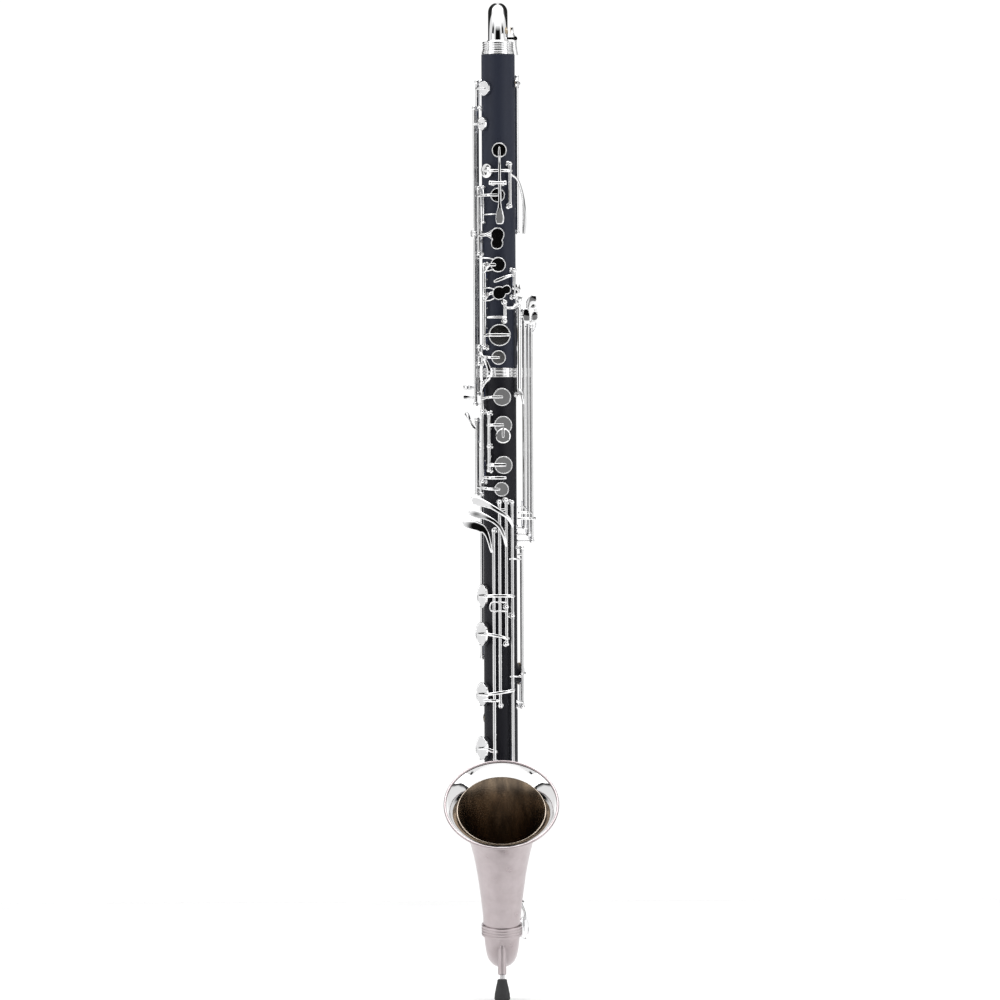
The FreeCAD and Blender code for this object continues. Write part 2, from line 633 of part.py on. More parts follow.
# ---------------------------------------------------------------- floor peg
def build_peg():
    foot = Vector(0, PEG_Y, 0)
    bow = bow_solid(0.03)
    barrel = placed(turned([(0, 0), (4.3, 0), (5.0, 0.7), (5.0, 31.0), (3.6, 34.5), (0, 34.5)]),
                    foot.add(Z * 30.5), Z, X)
    barrel = barrel.cut(bow)
    barrel = min(barrel.Solids, key=lambda s: s.BoundBox.ZMin)
    plate = Part.makePolygon([Vector(0, 0, 70.5), Vector(6.2, 0, 62), Vector(5.8, 0, 54), Vector(0, 0, 45),
                              Vector(-5.8, 0, 54), Vector(-6.2, 0, 62), Vector(0, 0, 70.5)])
    plate = Part.Face(plate).extrude(Vector(0, -60, 0))
    plate.translate(Vector(0, -BOW_R - 5, 0))
    plate = plate.common(bow_solid(1.1)).cut(bow)
    plate = max(plate.Solids, key=lambda s: s.Volume)
    knob_z = 35.0
    boss = cyl(foot.add(Vector(0, 0, knob_z)), foot.add(Vector(0, 8.4, knob_z)), 2.9)
    rod_hole = cyl(foot.add(Z * 20), foot.add(Z * 57.5), 3.05)
    screw_hole = cyl(foot.add(Vector(0, 0, knob_z)), foot.add(Vector(0, 12, knob_z)), 1.55)
    socket = one_solid([barrel, plate, boss]).cut(rod_hole).cut(screw_hole).cut(bow)
    NODES["peg_socket"] = [one_solid([socket])]
    rod = cyl(foot.add(Z * 18.0), foot.add(Z * 51.5), 3.0)
    NODES["peg_rod"] = [rod]
    tip = turned([(0, 0), (7.0, 0), (9.0, 1.8, "arc"), (9.2, 4.5), (8.9, 8.5), (7.6, 15.0), (5.8, 23.0),
                  (5.1, 25.2, "arc"), (4.4, 25.6), (0, 25.6)])
    tip.translate(foot)
    tip = tip.cut(cyl(foot.add(Z * 17.9), foot.add(Z * 30), 3.03))
    NODES["peg_tip"] = [one_solid([tip])]
    shank = cyl(foot.add(Vector(0, 3.4, knob_z)), foot.add(Vector(0, 10.4, knob_z)), 1.5)
    grip = placed(turned([(0, 0), (4.6, 0), (5.4, 0.8), (5.4, 4.2), (4.6, 5.0), (0, 5.0)]),
                  foot.add(Vector(0, 10.0, knob_z)), Y, X)
    flutes = []
    for k in range(12):
        a = math.tau * k / 12
        centre = foot.add(Vector(5.9 * math.cos(a), 9.0, knob_z + 5.9 * math.sin(a)))
        flutes.append(cyl(centre, centre.add(Y * 8), 0.9))
    NODES["peg_screw"] = [one_solid([shank, grip]).cut(Part.makeCompound(flutes))]


# ---------------------------------------------------------------- hinge lines
def hinge_lines():
    return {
        "throat_gs": Hinge(33.3, (935.4, 985.5)),
        "left_index": Hinge(-72, (879.5, 957.2)),
        "left_stack": Hinge(-44, (768.4, 830.4, 866.5)),
        "left_sliver": Hinge(46, (828.0, 859.9)),
        "left_link": Hinge(16.3, (799.7, 822.0)),
        "joint_bridge": Hinge(-72, (749.5, 770.0)),
        "trill_1": Hinge(-96.5, (714.0, 895.0, 1083.0), 25.1),
        "trill_2": Hinge(-86, (702.0, 904.0, 1052.0), 28.3),
        "register": Hinge(118, (905.0, 1089.0)),
        "thumb": Hinge(-140, (872.0, 916.0)),
        "right_index": Hinge(-54.8, (610.4, 693.0, 728.0)),
        "right_stack": Hinge(-30.8, (623.6, 652.0, 691.0)),
        "side_vent": Hinge(-83, (596.0, 684.0), 27.0),
        "tube_a": Hinge(-18, (279.0, 553.0)),
        "tube_b": Hinge(-1.4, (346.0, 586.0)),
        "tube_c": Hinge(17, (418.5, 462.5, 588.5)),
        "tube_d": Hinge(35, (276.0, 452.0, 586.0)),
        "left_little_1": Hinge(66, (713.0, 818.0)),
        "left_little_2": Hinge(84, (556.0, 812.0), 29.0),
        "left_little_3": Hinge(92, (548.0, 803.0), 33.8),
        "left_little_4": Hinge(100, (540.0, 794.0), 38.0),
        "low_d": Hinge(76, (344.0, 532.0), 26.0),
        "low_c_sharp": Hinge(-118, (402.0, 650.0)),
        "low_c": Hinge(158, (300.0, 636.0)),
    }


def sleeve(hinge, index, low=None, high=None, r_out=TUBE_R):
    """Hinge tube in the span above post `index`, filling it unless told where to stop."""
    z0, z1 = hinge.span(index)
    return hinge.tube(z0 if low is None else low, z1 if high is None else high, r_out)


def collars(hinge, heights, r_out=TUBE_R):
    """Raised bands on a hinge tube where its ends meet a post or another tube."""
    return [hinge.tube(z - 1.0, z + 1.0, r_out + 0.35) for z in heights]


def hinged_key(name, hinge, solids, cup_theta, cup_z, opens, stands_open):
    """A key on an upright hinge line, opened by lifting its cup off the body."""
    target = at(cup_theta, SEAT_R, cup_z)
    pivot = hinge.point(cup_z)
    add_key(name, solids, pivot, Z, target, radial(cup_theta), opens, stands_open,
            bore=hinge.bore())


# ---------------------------------------------------------------- upper joint keys
def throat_a_key(posts, rods):
    theta, z_axle, r_axle = 2.5, 962.6, 30.2
    cup_z, cup_r = 1001.5, 8.85
    x_left, x_right = -9.5, 7.5
    axle = lambda x: Vector(x, -r_axle, z_axle)
    for x in (x_left, x_right):
        posts.append(post(math.degrees(math.atan2(x, r_axle)), z_axle, math.hypot(x, r_axle), X))
    rods.append(cyl(axle(x_left - BALL_FLAT), axle(x_right + BALL_FLAT), ROD_R))
    clear = BALL_FLAT + END_GAP
    tube = cyl(axle(x_left + clear), axle(x_right - clear), TUBE_R)
    path = [(cup_z + 4.5, 24.45), (cup_z - 4, 24.5), (993.5, 25.6), (986.5, 28.4), (979.0, 30.0),
            (970.0, 30.3),
            (z_axle, 30.2), (950.0, 30.2), (940.0, 30.3), (934.0, 30.4), (927.0, 30.3), (920.5, 30.1),
            (914.0, 29.6)]
    sizes = [(0.9, 0.7), (1.4, 0.95), (1.5, 1.05), (1.5, 1.1), (1.5, 1.1), (1.5, 1.1),
             (1.9, 1.5), (1.5, 1.1), (1.6, 1.0), (2.3, 0.95), (4.0, 0.9), (5.2, 0.9), (3.9, 0.8)]
    arm = lever([at(theta, r, z) for z, r in path], sizes, tangent(theta))
    bore = cyl(axle(-30), axle(30), ROD_R + RUN_GAP)
    solids = [tube, arm, cup(theta, cup_z, cup_r)]
    target = at(theta, SEAT_R, cup_z)
    add_key("throat_a_key", solids, axle(theta * 0.5), X, target, radial(theta), 4.0, False, bore=bore)
    tone_hole(theta, cup_z, cup_r, "upper")


def throat_gs_key(h):
    theta, z, r = -38.4, 977.2, 8.25
    arm = cup_arm(h, theta, z, r, reach=0.3, width=1.7)
    touch_path = [at(33.3, 25.2, 972.5), at(47, 27.6, 969), at(60, 30.2, 957), at(69, 31.4, 942),
                  at(74, 31.6, 926),
                  at(75.5, 31.2, 912), at(75, 30.4, 902.5)]
    touch = lever(touch_path, [(1.6, 1.3), (1.6, 1.2), (1.9, 1.1), (2.6, 1.0), (3.6, 1.0), (4.3, 1.0),
                               (3.3, 0.9)],
                  tangent(62))
    solids = [sleeve(h, 0), arm, cup(theta, z, r, domed=True), touch] + collars(h, (938.6, 982.3))
    hinged_key("throat_g_sharp_key", h, solids, theta, z, 6.5, False)
    tone_hole(theta, z, r, "upper")


def left_index_keys(h):
    theta, z, r = 1.3, 948.4, 8.55
    solids = [sleeve(h, 0, low=919.2), cup_arm(h, theta, z, r, reach=0.5, width=1.6), cup(theta, z, r)]
    hinged_key("upper_vent_key", h, solids + collars(h, (953.9, 920.3)), theta, z, 5.5, True)
    tone_hole(theta, z, r, "upper")
    theta, z = 0.5, 901.7
    lobes = [(0, 0, 8.3), (-0.4, -10.2, 7.3)]
    plate = plateau(theta, z, lobes)
    solids = [sleeve(h, 0, high=919.0), cup_arm(h, theta, z, 8.3, reach=-0.86, width=2.0), plate]
    solids += fork(theta, z, 8.3, 1)
    hinged_key("left_index_key", h, solids + collars(h, (882.8, 917.9)), theta, z, 6.0, True)
    tone_hole(theta, z, 8.3, "upper")


def left_stack_keys(h):
    theta, z, r = 0.0, 866.2, 9.0
    solids = [sleeve(h, 1), cup_arm(h, theta, z, r, reach=-0.3, z_root=858.0, width=1.9), cup(theta, z, r)]
    hinged_key("left_middle_key", h, solids + collars(h, (833.7, 863.2)), theta, z, 7.0, True)
    tone_hole(theta, z, r, "upper")
    theta, z = 2.5, 832.7
    lobes = [(0, 0, 8.1), (8.8, 4.0, 5.5)]
    solids = [sleeve(h, 0, low=806.6), plateau(theta, z, lobes)]
    solids += [cup_arm(h, theta, z, 8.1, reach=-0.86, z_root=824.5, width=1.8)]
    hinged_key("left_ring_key", h, solids + collars(h, (807.7, 827.1)), theta, z, 7.0, True)
    tone_hole(theta, z, 8.1, "upper")
    theta, z, r = 3.3, 783.2, 13.0
    solids = [sleeve(h, 0, high=806.4), cup_arm(h, theta, z, r, reach=0.93, width=1.8), cup(theta, z, r)]
    hinged_key("left_resonance_key", h, solids + collars(h, (771.7, 805.3)), theta, z, 7.0, True)
    tone_hole(theta, z, r, "upper")


def left_sliver_key(h):
    theta, z, r = 88, 838.0, 6.5
    path = [at(46, 25.0, 853.6), at(35, 26.2, 853.8), at(23, 26.6, 852.4), at(10, 26.8, 850.2),
            at(-3, 26.8, 847.8),
            at(-13, 26.6, 846.2)]
    paddle = lever(path, [(1.6, 1.3), (1.5, 1.1), (1.85, 0.95), (1.95, 0.9), (1.95, 0.9), (1.6, 0.85)], Z)
    solids = [sleeve(h, 0), paddle, cup_arm(h, theta, z, r, reach=0.0), cup(theta, z, r, domed=True)]
    hinged_key("left_sliver_key", h, solids, theta, z, 8.0, False)
    tone_hole(theta, z, r, "upper")


def left_link_lever(h):
    bar = lever([at(20, 25.6, 804.2), at(8, 26.9, 804.2), at(-8, 27.1, 804.2), at(-24, 26.9, 804.2),
                 at(-32, 26.6, 804.2)],
                [(1.2, 0.9), (1.4, 0.9), (1.4, 0.8), (1.4, 0.8), (1.2, 0.7)], Z)
    paddle = lever([at(12, 25.6, 815), at(24, 26.3, 815), at(38, 26.8, 815.4), at(49, 27.2, 818),
                    at(57, 27.9, 823.5),
                    at(62, 28.4, 829.5)],
                   [(1.3, 1.0), (1.5, 1.1), (1.6, 1.1), (2.1, 1.0), (3.2, 0.95), (2.9, 0.9)],
                   Vector(0.45, 0.25, 0.86))
    solids = [sleeve(h, 0), bar, paddle]
    target = at(-30, 26.9, 804)
    add_key("left_link_lever", solids, h.point(810), Z, target, radial(-30), 4.0, False, bore=h.bore())


def joint_bridge_key(h):
    theta, z, r = 1.5, 756.7, 8.55
    arm = cup_arm(h, theta, z, r, reach=0.2, z_root=759.5, width=1.5)
    bridge = lever([at(-72, 25.0, 764.0), at(-55, 26.0, 760.8), at(-42, 25.9, 756.0), at(-32, 25.6, 749.6),
                    at(-25.5, 25.0, 742.0), at(-24.5, 24.9, 737.6)],
                   [(1.5, 1.2), (1.9, 1.1), (2.2, 1.1), (2.4, 1.1), (2.4, 1.0), (1.9, 0.8)],
                   Vector(0.7, 0, 0.7))
    solids = [sleeve(h, 0), arm, bridge, cup(theta, z, r)]
    hinged_key("bridge_key_upper", h, solids, theta, z, 5.0, True)
    tone_hole(theta, z, r, "upper")


def trill_keys(h1, h2):
    theta, z, r = -46.6, 1074.7, 8.6
    touch = lever([h1.point(722.0), Vector(-29.5, 6.2, 722), Vector(-35.5, 4.8, 722),
                   Vector(-42.6, 1.6, 722)],
                  [(1.6, 1.4), (1.6, 1.1), (2.6, 1.0), (2.8, 0.8)], Z)
    solids = [sleeve(h1, 0), touch]
    upper = [sleeve(h1, 1), cup_arm(h1, theta, z, r, reach=0.3), cup(theta, z, r)]
    solids += upper + saddle(h1, 1, 4.4, -40)
    hinged_key("side_trill_key_1", h1, solids, theta, z, 7.5, False)
    tone_hole(theta, z, r, "upper")
    theta, z, r = -57, 1033.0, 8.0
    touch = lever([h2.point(710.0), Vector(-31.6, -3.6, 710), Vector(-36.5, -5.2, 710),
                   Vector(-42.6, -6.6, 710)],
                  [(1.6, 1.4), (1.7, 1.1), (2.6, 1.0), (2.8, 0.8)], Z)
    solids = [sleeve(h2, 0), touch, sleeve(h2, 1), cup_arm(h2, theta, z, r, reach=0.3, tail=2.2),
              cup(theta, z, r)]
    solids += saddle(h2, 1, 4.4, -30)
    hinged_key("side_trill_key_2", h2, solids, theta, z, 8.0, False)
    tone_hole(theta, z, r, "upper")


def saddle(hinge, index, off, lean):
    """U-shaped strap that joins a tube's two lengths past the post between them."""
    z = hinge.z_posts[index]
    out = radial(hinge.theta + lean)
    ends = []
    for side in (1, -1):
        foot = hinge.point(z + side * 6.0)
        ends.append((foot, foot.add(out * off)))
    path = [ends[0][0], ends[0][0].add(out * (off * 0.7)).sub(Z * 0.6),
            ends[0][1].sub(Z * 3.2).add(out * 0.4),
            hinge.point(z).add(out * (off + 0.5)),
            ends[1][1].add(Z * 3.2).add(out * 0.4), ends[1][0].add(out * (off * 0.7)).add(Z * 0.6),
            ends[1][0]]
    return [lever(path, [(1.4, 1.2)] + [(1.3, 0.75)] * 5 + [(1.4, 1.2)], out.cross(Z), round_ends=False)]


def register_key(h):
    theta, z, r = 80, 1081.0, 6.0
    touch = lever([at(118, 25.0, 926), at(134, 26.8, 926), at(148, 28.2, 927), at(160, 29.0, 929),
                   at(171, 29.2, 932)],
                  [(1.7, 1.3), (1.8, 1.1), (2.8, 1.0), (5.2, 1.0), (4.2, 0.9)], Z)
    solids = [sleeve(h, 0), cup_arm(h, theta, z, r, reach=0.3), cup(theta, z, r), touch]
    hinged_key("register_key", h, solids + collars(h, (908.2, 1085.8)), theta, z, 6.5, False)
    tone_hole(theta, z, r, "upper")


def thumb_key(h):
    theta, z, r = -179, 894.0, 9.0
    solids = [sleeve(h, 0), cup_arm(h, theta, z, r, reach=-0.86, width=2.0), plateau(theta, z, [(0, 0, r)])]
    hinged_key("thumb_key", h, solids + collars(h, (875.2, 912.8)), theta, z, 6.5, True)
    tone_hole(theta, z, r, "upper")


# ---------------------------------------------------------------- lower joint keys
def right_hand_keys(index, stack):
    theta, z, r = 10.3, 710.0, 10.6
    bridge = lever([index.point(715.0), at(-45, 26.6, 720.5), at(-34, 27.6, 725.6), at(-26, 28.0, 730.5),
                    at(-23.5, 27.9, 735.5), at(-24.5, 27.6, 739.8)],
                   [(1.5, 1.2), (2.0, 1.1), (2.3, 1.1), (2.4, 1.1), (2.3, 1.0), (1.7, 0.8)],
                   Vector(0.7, 0, 0.7))
    solids = [sleeve(index, 1), cup_arm(index, theta, z, r, reach=0.1, z_root=708.5, width=1.6),
              cup(theta, z, r)]
    hinged_key("right_index_key", index, solids + [bridge] + collars(index, (696.2, 724.8)), theta, z, 6.5,
               True)
    tone_hole(theta, z, r, "lower")
    theta, z, r = 11, 677.0, 10.6
    touch = on_body(turned([(0, 2.2), (8.2, 2.2), (8.85, 2.8), (8.85, 3.6), (8.3, 4.1), (7.6, 3.6),
                            (0, 3.6)]),
                    theta, SEAT_R + PAD_GAP, 664.2)
    stem = lever([cup_point(theta, 674, 0, 0.2), cup_point(theta, 669, 0, 0.1),
                  cup_point(theta, 662, 0, 0.1)],
                 [(1.6, 0.9), (1.8, 0.9), (1.6, 0.8)], tangent(theta))
    solids = [sleeve(stack, 1), cup_arm(stack, theta, z, r, reach=0.1, width=1.7), cup(theta, z, r), touch,
              stem]
    hinged_key("right_middle_key", stack, solids + collars(stack, (655.2, 687.8)), theta, z, 7.5, True)
    tone_hole(theta, z, r, "lower")
    theta, z, r = 11.8, 629.8, 10.6
    solids = [sleeve(stack, 0), cup_arm(stack, theta, z, r, reach=0.3, width=2.1), cup(theta, z, r)]
    hinged_key("right_ring_key", stack, solids + collars(stack, (626.8, 648.8)), theta, z, 7.5, True)
    tone_hole(theta, z, r, "lower")


def right_link_bar(h):
    z = 615.6
    bar = lever([h.point(z), at(-42, 26.3, z - 0.4), at(-28, 26.9, z - 0.9), at(-12, 27.2, z - 1.0),
                 at(4, 27.2, z - 1.0), at(19, 26.9, z - 1.0)],
                [(1.6, 1.3), (1.7, 1.1), (1.8, 0.95), (1.9, 0.9), (1.9, 0.9), (1.5, 0.8)], Z)
    add_key("right_link_bar", [sleeve(h, 0), bar] + collars(h, (689.8,)), h.point(z), Z, at(10, 26.9, z),
            radial(10), 4.5, True, bore=h.bore())


def side_vent_key(h):
    theta, z, r = 4.8, 601.2, 8.6
    r_tube = 2.5
    touch = lever([h.point(672.0), Vector(-31.2, -5.6, 674.5), Vector(-35.0, -7.6, 682.0),
                   Vector(-40.4, -9.4, 691.5)],
                  [(1.7, 1.5), (2.0, 1.1), (2.6, 1.0), (2.6, 0.85)], Vector(-0.3, 0, 1))
    arm = cup_arm(h, theta, z, r, reach=-0.2, z_root=604.6, width=1.7, over=-1.6)
    solids = [sleeve(h, 0, r_out=r_tube), arm, cup(theta, z, r), touch]
    hinged_key("side_vent_key", h, solids + collars(h, (599.4, 680.5), r_tube), theta, z, 6.0, False)
    tone_hole(theta, z, r, "lower")


LOW_CUP_R = 14.0
LOW_CUP_THETA = -68
OVER_TUBES = 3.1          # extra rise of an arm that passes over other hinge tubes


def low_cup(z, theta=LOW_CUP_THETA, radius=LOW_CUP_R):
    tone_hole(theta, z, radius, "lower")
    return cup(theta, z, radius)


def right_little_keys(tubes):
    a, b, c, d = tubes
    ribbon_wide = Vector(0.5, 0, 0.87)

    z = 475.2
    touch = lever([Vector(-34.6, -17.5, 589.3), Vector(-29.5, -19.6, 587.8), Vector(-23, -22.2, 585.8),
                   Vector(-16, -25.6, 583.2), Vector(-8, -28.7, 579.4), Vector(0, -30.0, 574.3),
                   Vector(8, -28.9, 568.6), Vector(13, -26.0, 562.5), Vector(14.6, -22.4, 556.5)],
                  [(3.4, 0.8), (4.9, 1.0), (5.0, 1.0), (3.6, 1.05), (2.6, 1.1), (2.4, 1.1), (2.3, 1.1),
                   (2.1, 1.1),
                   (1.6, 1.1)], ribbon_wide)
    arm = cup_arm(d, LOW_CUP_THETA, z, LOW_CUP_R, reach=0.5, over=OVER_TUBES, width=1.9)
    hinged_key("right_little_key_1", d, [sleeve(d, 1), touch, arm, low_cup(z)] + collars(d, (455.2, 582.8)),
               LOW_CUP_THETA, z, 4.2, False)

    z = 430.3
    touch = lever([Vector(-36.6, -17.5, 574.6), Vector(-31.5, -19.6, 573.2), Vector(-25, -22.2, 571.2),
                   Vector(-18, -25.2, 568.8), Vector(-10.5, -28.2, 565.0), Vector(-3, -29.4, 559.0),
                   Vector(2.5, -29.3, 550.5), Vector(5.4, -28.4, 541.5), Vector(6.9, -25.6, 533.5)],
                  [(3.2, 0.8), (4.6, 1.0), (4.7, 1.0), (3.4, 1.05), (2.5, 1.1), (2.3, 1.1), (2.2, 1.1),
                   (2.0, 1.1),
                   (1.6, 1.1)], Vector(0.75, 0, 0.66))
    arm = cup_arm(c, LOW_CUP_THETA, z, LOW_CUP_R, reach=0.5, z_root=425.2, over=OVER_TUBES, width=1.8)
    strap = [lever([c.point(467.8), at(8, 28.2, 467.8), at(-8, 28.6, 467.8), at(-22, 28.4, 467.6),
                    at(-27, 28.2, 462.5), at(-22, 28.4, 457.4), at(-8, 28.6, 457.2), at(8, 28.2, 457.2),
                    c.point(457.2)],
                   [(1.2, 1.2), (1.3, 1.0)] + [(1.3, 0.9)] * 5 + [(1.3, 1.0), (1.2, 1.2)], radial(-5),
                   round_ends=False)]
    solids = [sleeve(c, 0), sleeve(c, 1), touch, arm, low_cup(z)] + strap + collars(c, (421.7, 585.2))
    hinged_key("right_little_key_2", c, solids, LOW_CUP_THETA, z, 4.5, True)

    z = 295.2
    touch = lever([Vector(-43.4, -15.0, 561.4), Vector(-37.5, -17.4, 560.2), Vector(-30, -20.2, 558.6),
                   Vector(-22.5, -22.8, 555.6), Vector(-17.3, -24.8, 550.6), Vector(-14.4, -25.8, 543.5),
                   Vector(-12.0, -26.0, 534.5), Vector(-9.8, -25.2, 526.5)],
                  [(3.2, 0.8), (5.0, 1.0), (5.6, 1.0), (5.2, 1.05), (3.2, 1.1), (2.3, 1.1), (2.0, 1.1),
                   (1.6, 1.1)],
                  Vector(0.7, 0, 0.72))
    arm = cup_arm(a, LOW_CUP_THETA, z, LOW_CUP_R, reach=0.5, z_root=291.5, width=1.8)
    hinged_key("right_little_key_3", a, [sleeve(a, 0), touch, arm, low_cup(z)] + collars(a, (282.2, 549.8)),
               LOW_CUP_THETA, z, 5.5, True)

    z = 359.0
    arm = cup_arm(d, LOW_CUP_THETA, z, LOW_CUP_R, reach=0.5, z_root=364.0, over=OVER_TUBES, width=1.9)
    hinged_key("low_e_flat_key", d, [sleeve(d, 0), arm, low_cup(z)] + collars(d, (279.2, 448.8, 372.0)),
               LOW_CUP_THETA, z, 4.2, True)

    finger = lever([b.point(351.6), at(-9, 27.0, 351.6), at(-18, 28.4, 351.6), at(-28, 28.6, 351.8),
                    at(-38, 29.8, 352.0), at(-44, 30.6, 352.0)],
                   [(1.5, 1.3), (1.6, 1.1), (1.7, 1.0), (1.7, 1.0), (1.7, 0.95), (1.3, 0.8)], Z)
    crank = lever([b.point(577), at(7, 26.6, 577), at(13, 27.2, 577)],
                  [(1.5, 1.3), (1.7, 1.0), (1.3, 0.8)], Z)
    rings = collars(b, (349.2, 404.5, 397.5, 582.8))
    add_key("low_e_flat_link", [sleeve(b, 0), finger, crank] + rings, b.point(352), Z,
            at(-40, 30.2, 352), radial(-40), 5.0, True, bore=b.bore())


def left_little_keys(hinges):
    h1, h2, h3, h4 = hinges
    r1 = 2.85
    paddle = lever([Vector(32.4, -12.0, 796.6), Vector(32.4, -12.8, 801.5), Vector(32.2, -13.0, 806.5),
                    Vector(31.8, -12.8, 811.0), Vector(31.2, -12.2, 814.4)],
                   [(2.6, 0.8), (4.1, 1.0), (4.3, 1.0), (3.8, 1.0), (2.4, 0.8)], X)
    stem = lever([h1.point(806), Vector(27.0, -12.2, 806), Vector(32, -13.0, 806)],
                 [(2.0, 1.6), (2.2, 1.2), (2.6, 0.9)],
                 Z)
    foot = lever([h1.point(721), Vector(25.0, -12.6, 717), Vector(27.4, -14.6, 709),
                  Vector(28.2, -15.2, 701.5)],
                 [(2.2, 1.5), (2.4, 1.1), (2.0, 1.0), (1.5, 0.8)], Vector(0.8, 0.6, 0))
    solids = [sleeve(h1, 0, r_out=r1), paddle, stem, foot]
    swing(h1, "left_little_key_1", solids, Vector(32.4, -10.4, 806), 5.0)

    paddle = lever([h2.point(804.0), Vector(32.4, -3.4, 807.5), Vector(34.4, -4.4, 815.5),
                    Vector(36.2, -5.6, 821.8),
                    Vector(39.8, -6.6, 825.6), Vector(44.4, -6.6, 827.0)],
                   [(1.4, 1.4), (1.6, 1.2), (2.2, 1.1), (4.2, 1.0), (4.9, 1.0), (3.2, 0.8)],
                   Vector(-0.62, 0, 0.78))
    foot = lever([h2.point(580), Vector(28.6, -8.2, 580), Vector(25.6, -12.6, 580),
                  Vector(21.0, -16.0, 580)],
                 [(1.4, 1.4), (1.5, 1.1), (1.5, 1.0), (1.3, 0.8)], Z)
    swing(h2, "left_little_key_2", [sleeve(h2, 0), paddle, foot] + collars(h2, (559.2, 808.8)),
          Vector(39.5, -7.9, 825.6), 5.0)

    stem = lever([h3.point(796.6), Vector(37.2, -2.0, 798.6), Vector(41.0, -3.8, 801.8)],
                 [(1.4, 1.4), (1.5, 1.1), (1.3, 0.9)], Vector(-0.6, 0, 0.8))
    paddle = lever([Vector(40.7, -3.6, 797.8), Vector(41.3, -3.9, 801.0), Vector(41.9, -4.2, 804.6),
                    Vector(42.3, -4.3, 808.0), Vector(42.6, -4.3, 811.0)],
                   [(2.2, 0.8), (3.6, 1.0), (3.9, 1.0), (3.5, 1.0), (2.2, 0.8)], X)
    foot = lever([h3.point(573.4), Vector(37.2, -3.0, 573.4), Vector(34.0, -9.4, 573.4),
                  Vector(27.6, -13.8, 573.4),
                  Vector(21.6, -16.2, 573.4)],
                 [(1.4, 1.4), (1.5, 1.1), (1.5, 1.0), (1.5, 1.0), (1.3, 0.8)], Z)
    swing(h3, "left_little_key_3", [sleeve(h3, 0), paddle, stem, foot] + collars(h3, (551.2, 799.8)),
          Vector(42.2, -4.2, 803.6), 5.0)

    stem = lever([h4.point(786.0), Vector(41.6, 5.8, 789.0), Vector(44.4, 4.0, 797.0),
                  Vector(44.3, 1.8, 807.0),
                  Vector(42.6, -0.2, 813.6), Vector(40.0, -1.4, 816.8)],
                 [(1.4, 1.4), (1.5, 1.2), (1.5, 1.1), (1.5, 1.1), (1.4, 1.0), (1.3, 0.9)],
                 Vector(0.75, 0, 0.66))
    paddle = lever([Vector(43.4, -1.0, 815.6), Vector(40.8, -1.5, 817.0), Vector(37.6, -1.9, 817.9),
                    Vector(34.6, -1.9, 818.2)],
                   [(2.2, 0.8), (3.5, 1.0), (3.6, 1.0), (2.4, 0.8)], Vector(0.2, 0, 1))
    foot = lever([h4.point(566.6), Vector(41.2, 0.4, 566.6), Vector(39.6, -6.6, 566.6),
                  Vector(33.6, -12.6, 566.6),
                  Vector(26.4, -16.2, 566.6), Vector(20.4, -17.6, 566.6)],
                 [(1.4, 1.4), (1.5, 1.1), (1.5, 1.0), (1.5, 1.0), (1.5, 1.0), (1.3, 0.8)], Z)
    swing(h4, "left_little_key_4", [sleeve(h4, 0), paddle, stem, foot] + collars(h4, (543.2, 790.8)),
          Vector(38.6, -1.6, 817.6), 5.0)


def swing(hinge, name, solids, touch, opens):
    """A lever worked by a touch that is pressed back towards the body."""
    press = Vector(-0.5, 0.87, 0)
    add_key(name, solids, hinge.point(touch.z), Z, touch, press, opens, False, bore=hinge.bore())


def low_thumb_keys(d, c_sharp, c):
    theta, z = 116, 383.0
    tone_hole(theta, z, 13.5, "lower")
    arm = cup_arm(d, theta, z, 13.5, reach=0.4, width=1.8)
    crank = lever([d.point(524), Vector(25.0, -8.0, 524), Vector(21.5, -13.0, 524)],
                  [(1.4, 1.4), (1.6, 1.1), (1.3, 0.8)], Z)
    guard = lever([d.point(350), at(66, 27.4, 350), at(55, 27.6, 350.4), at(45, 27.2, 350.6)],
                  [(1.5, 1.4), (1.9, 1.1), (2.0, 1.0), (1.4, 0.8)], Z)
    hinged_key("low_d_key", d, [sleeve(d, 0), arm, cup(theta, z, 13.5), crank, guard] + collars(d,
                                                                                                (347.2,
                                                                                                 528.8)),
               theta, z, 6.5, True)

    theta, z = -160, 430.0
    tone_hole(theta, z, 13.5, "lower")
    arm = cup_arm(c_sharp, theta, z, 13.5, reach=0.4, width=1.8)
    touch = lever([c_sharp.point(641), at(-132, 27.0, 640), at(-148, 29.2, 638), at(-162, 30.6, 636),
                   at(-174, 30.6, 635)],
                  [(1.7, 1.3), (2.0, 1.1), (3.2, 1.0), (5.0, 1.0), (4.0, 0.85)], Z)
    hinged_key("low_c_sharp_key", c_sharp, [sleeve(c_sharp, 0), arm, cup(theta, z, 13.5), touch]
               + collars(c_sharp, (405.2, 646.8)), theta, z, 7.5, True)

    theta, z = 200, 330.0
    tone_hole(theta, z, 13.5, "lower")
    arm = cup_arm(c, theta, z, 13.5, reach=0.4, width=1.8)
    touch = lever([c.point(624), at(165, 26.8, 623), at(172, 29.2, 621), at(180, 30.6, 620),
                   at(190, 30.6, 619)],
                  [(1.7, 1.3), (2.2, 1.1), (3.6, 1.0), (5.0, 1.0), (4.0, 0.85)], Z)
    hinged_key("low_c_key", c, [sleeve(c, 0), arm, cup(theta, z, 13.5), touch] + collars(c, (303.2, 632.8)),
               theta, z, 7.5, True)


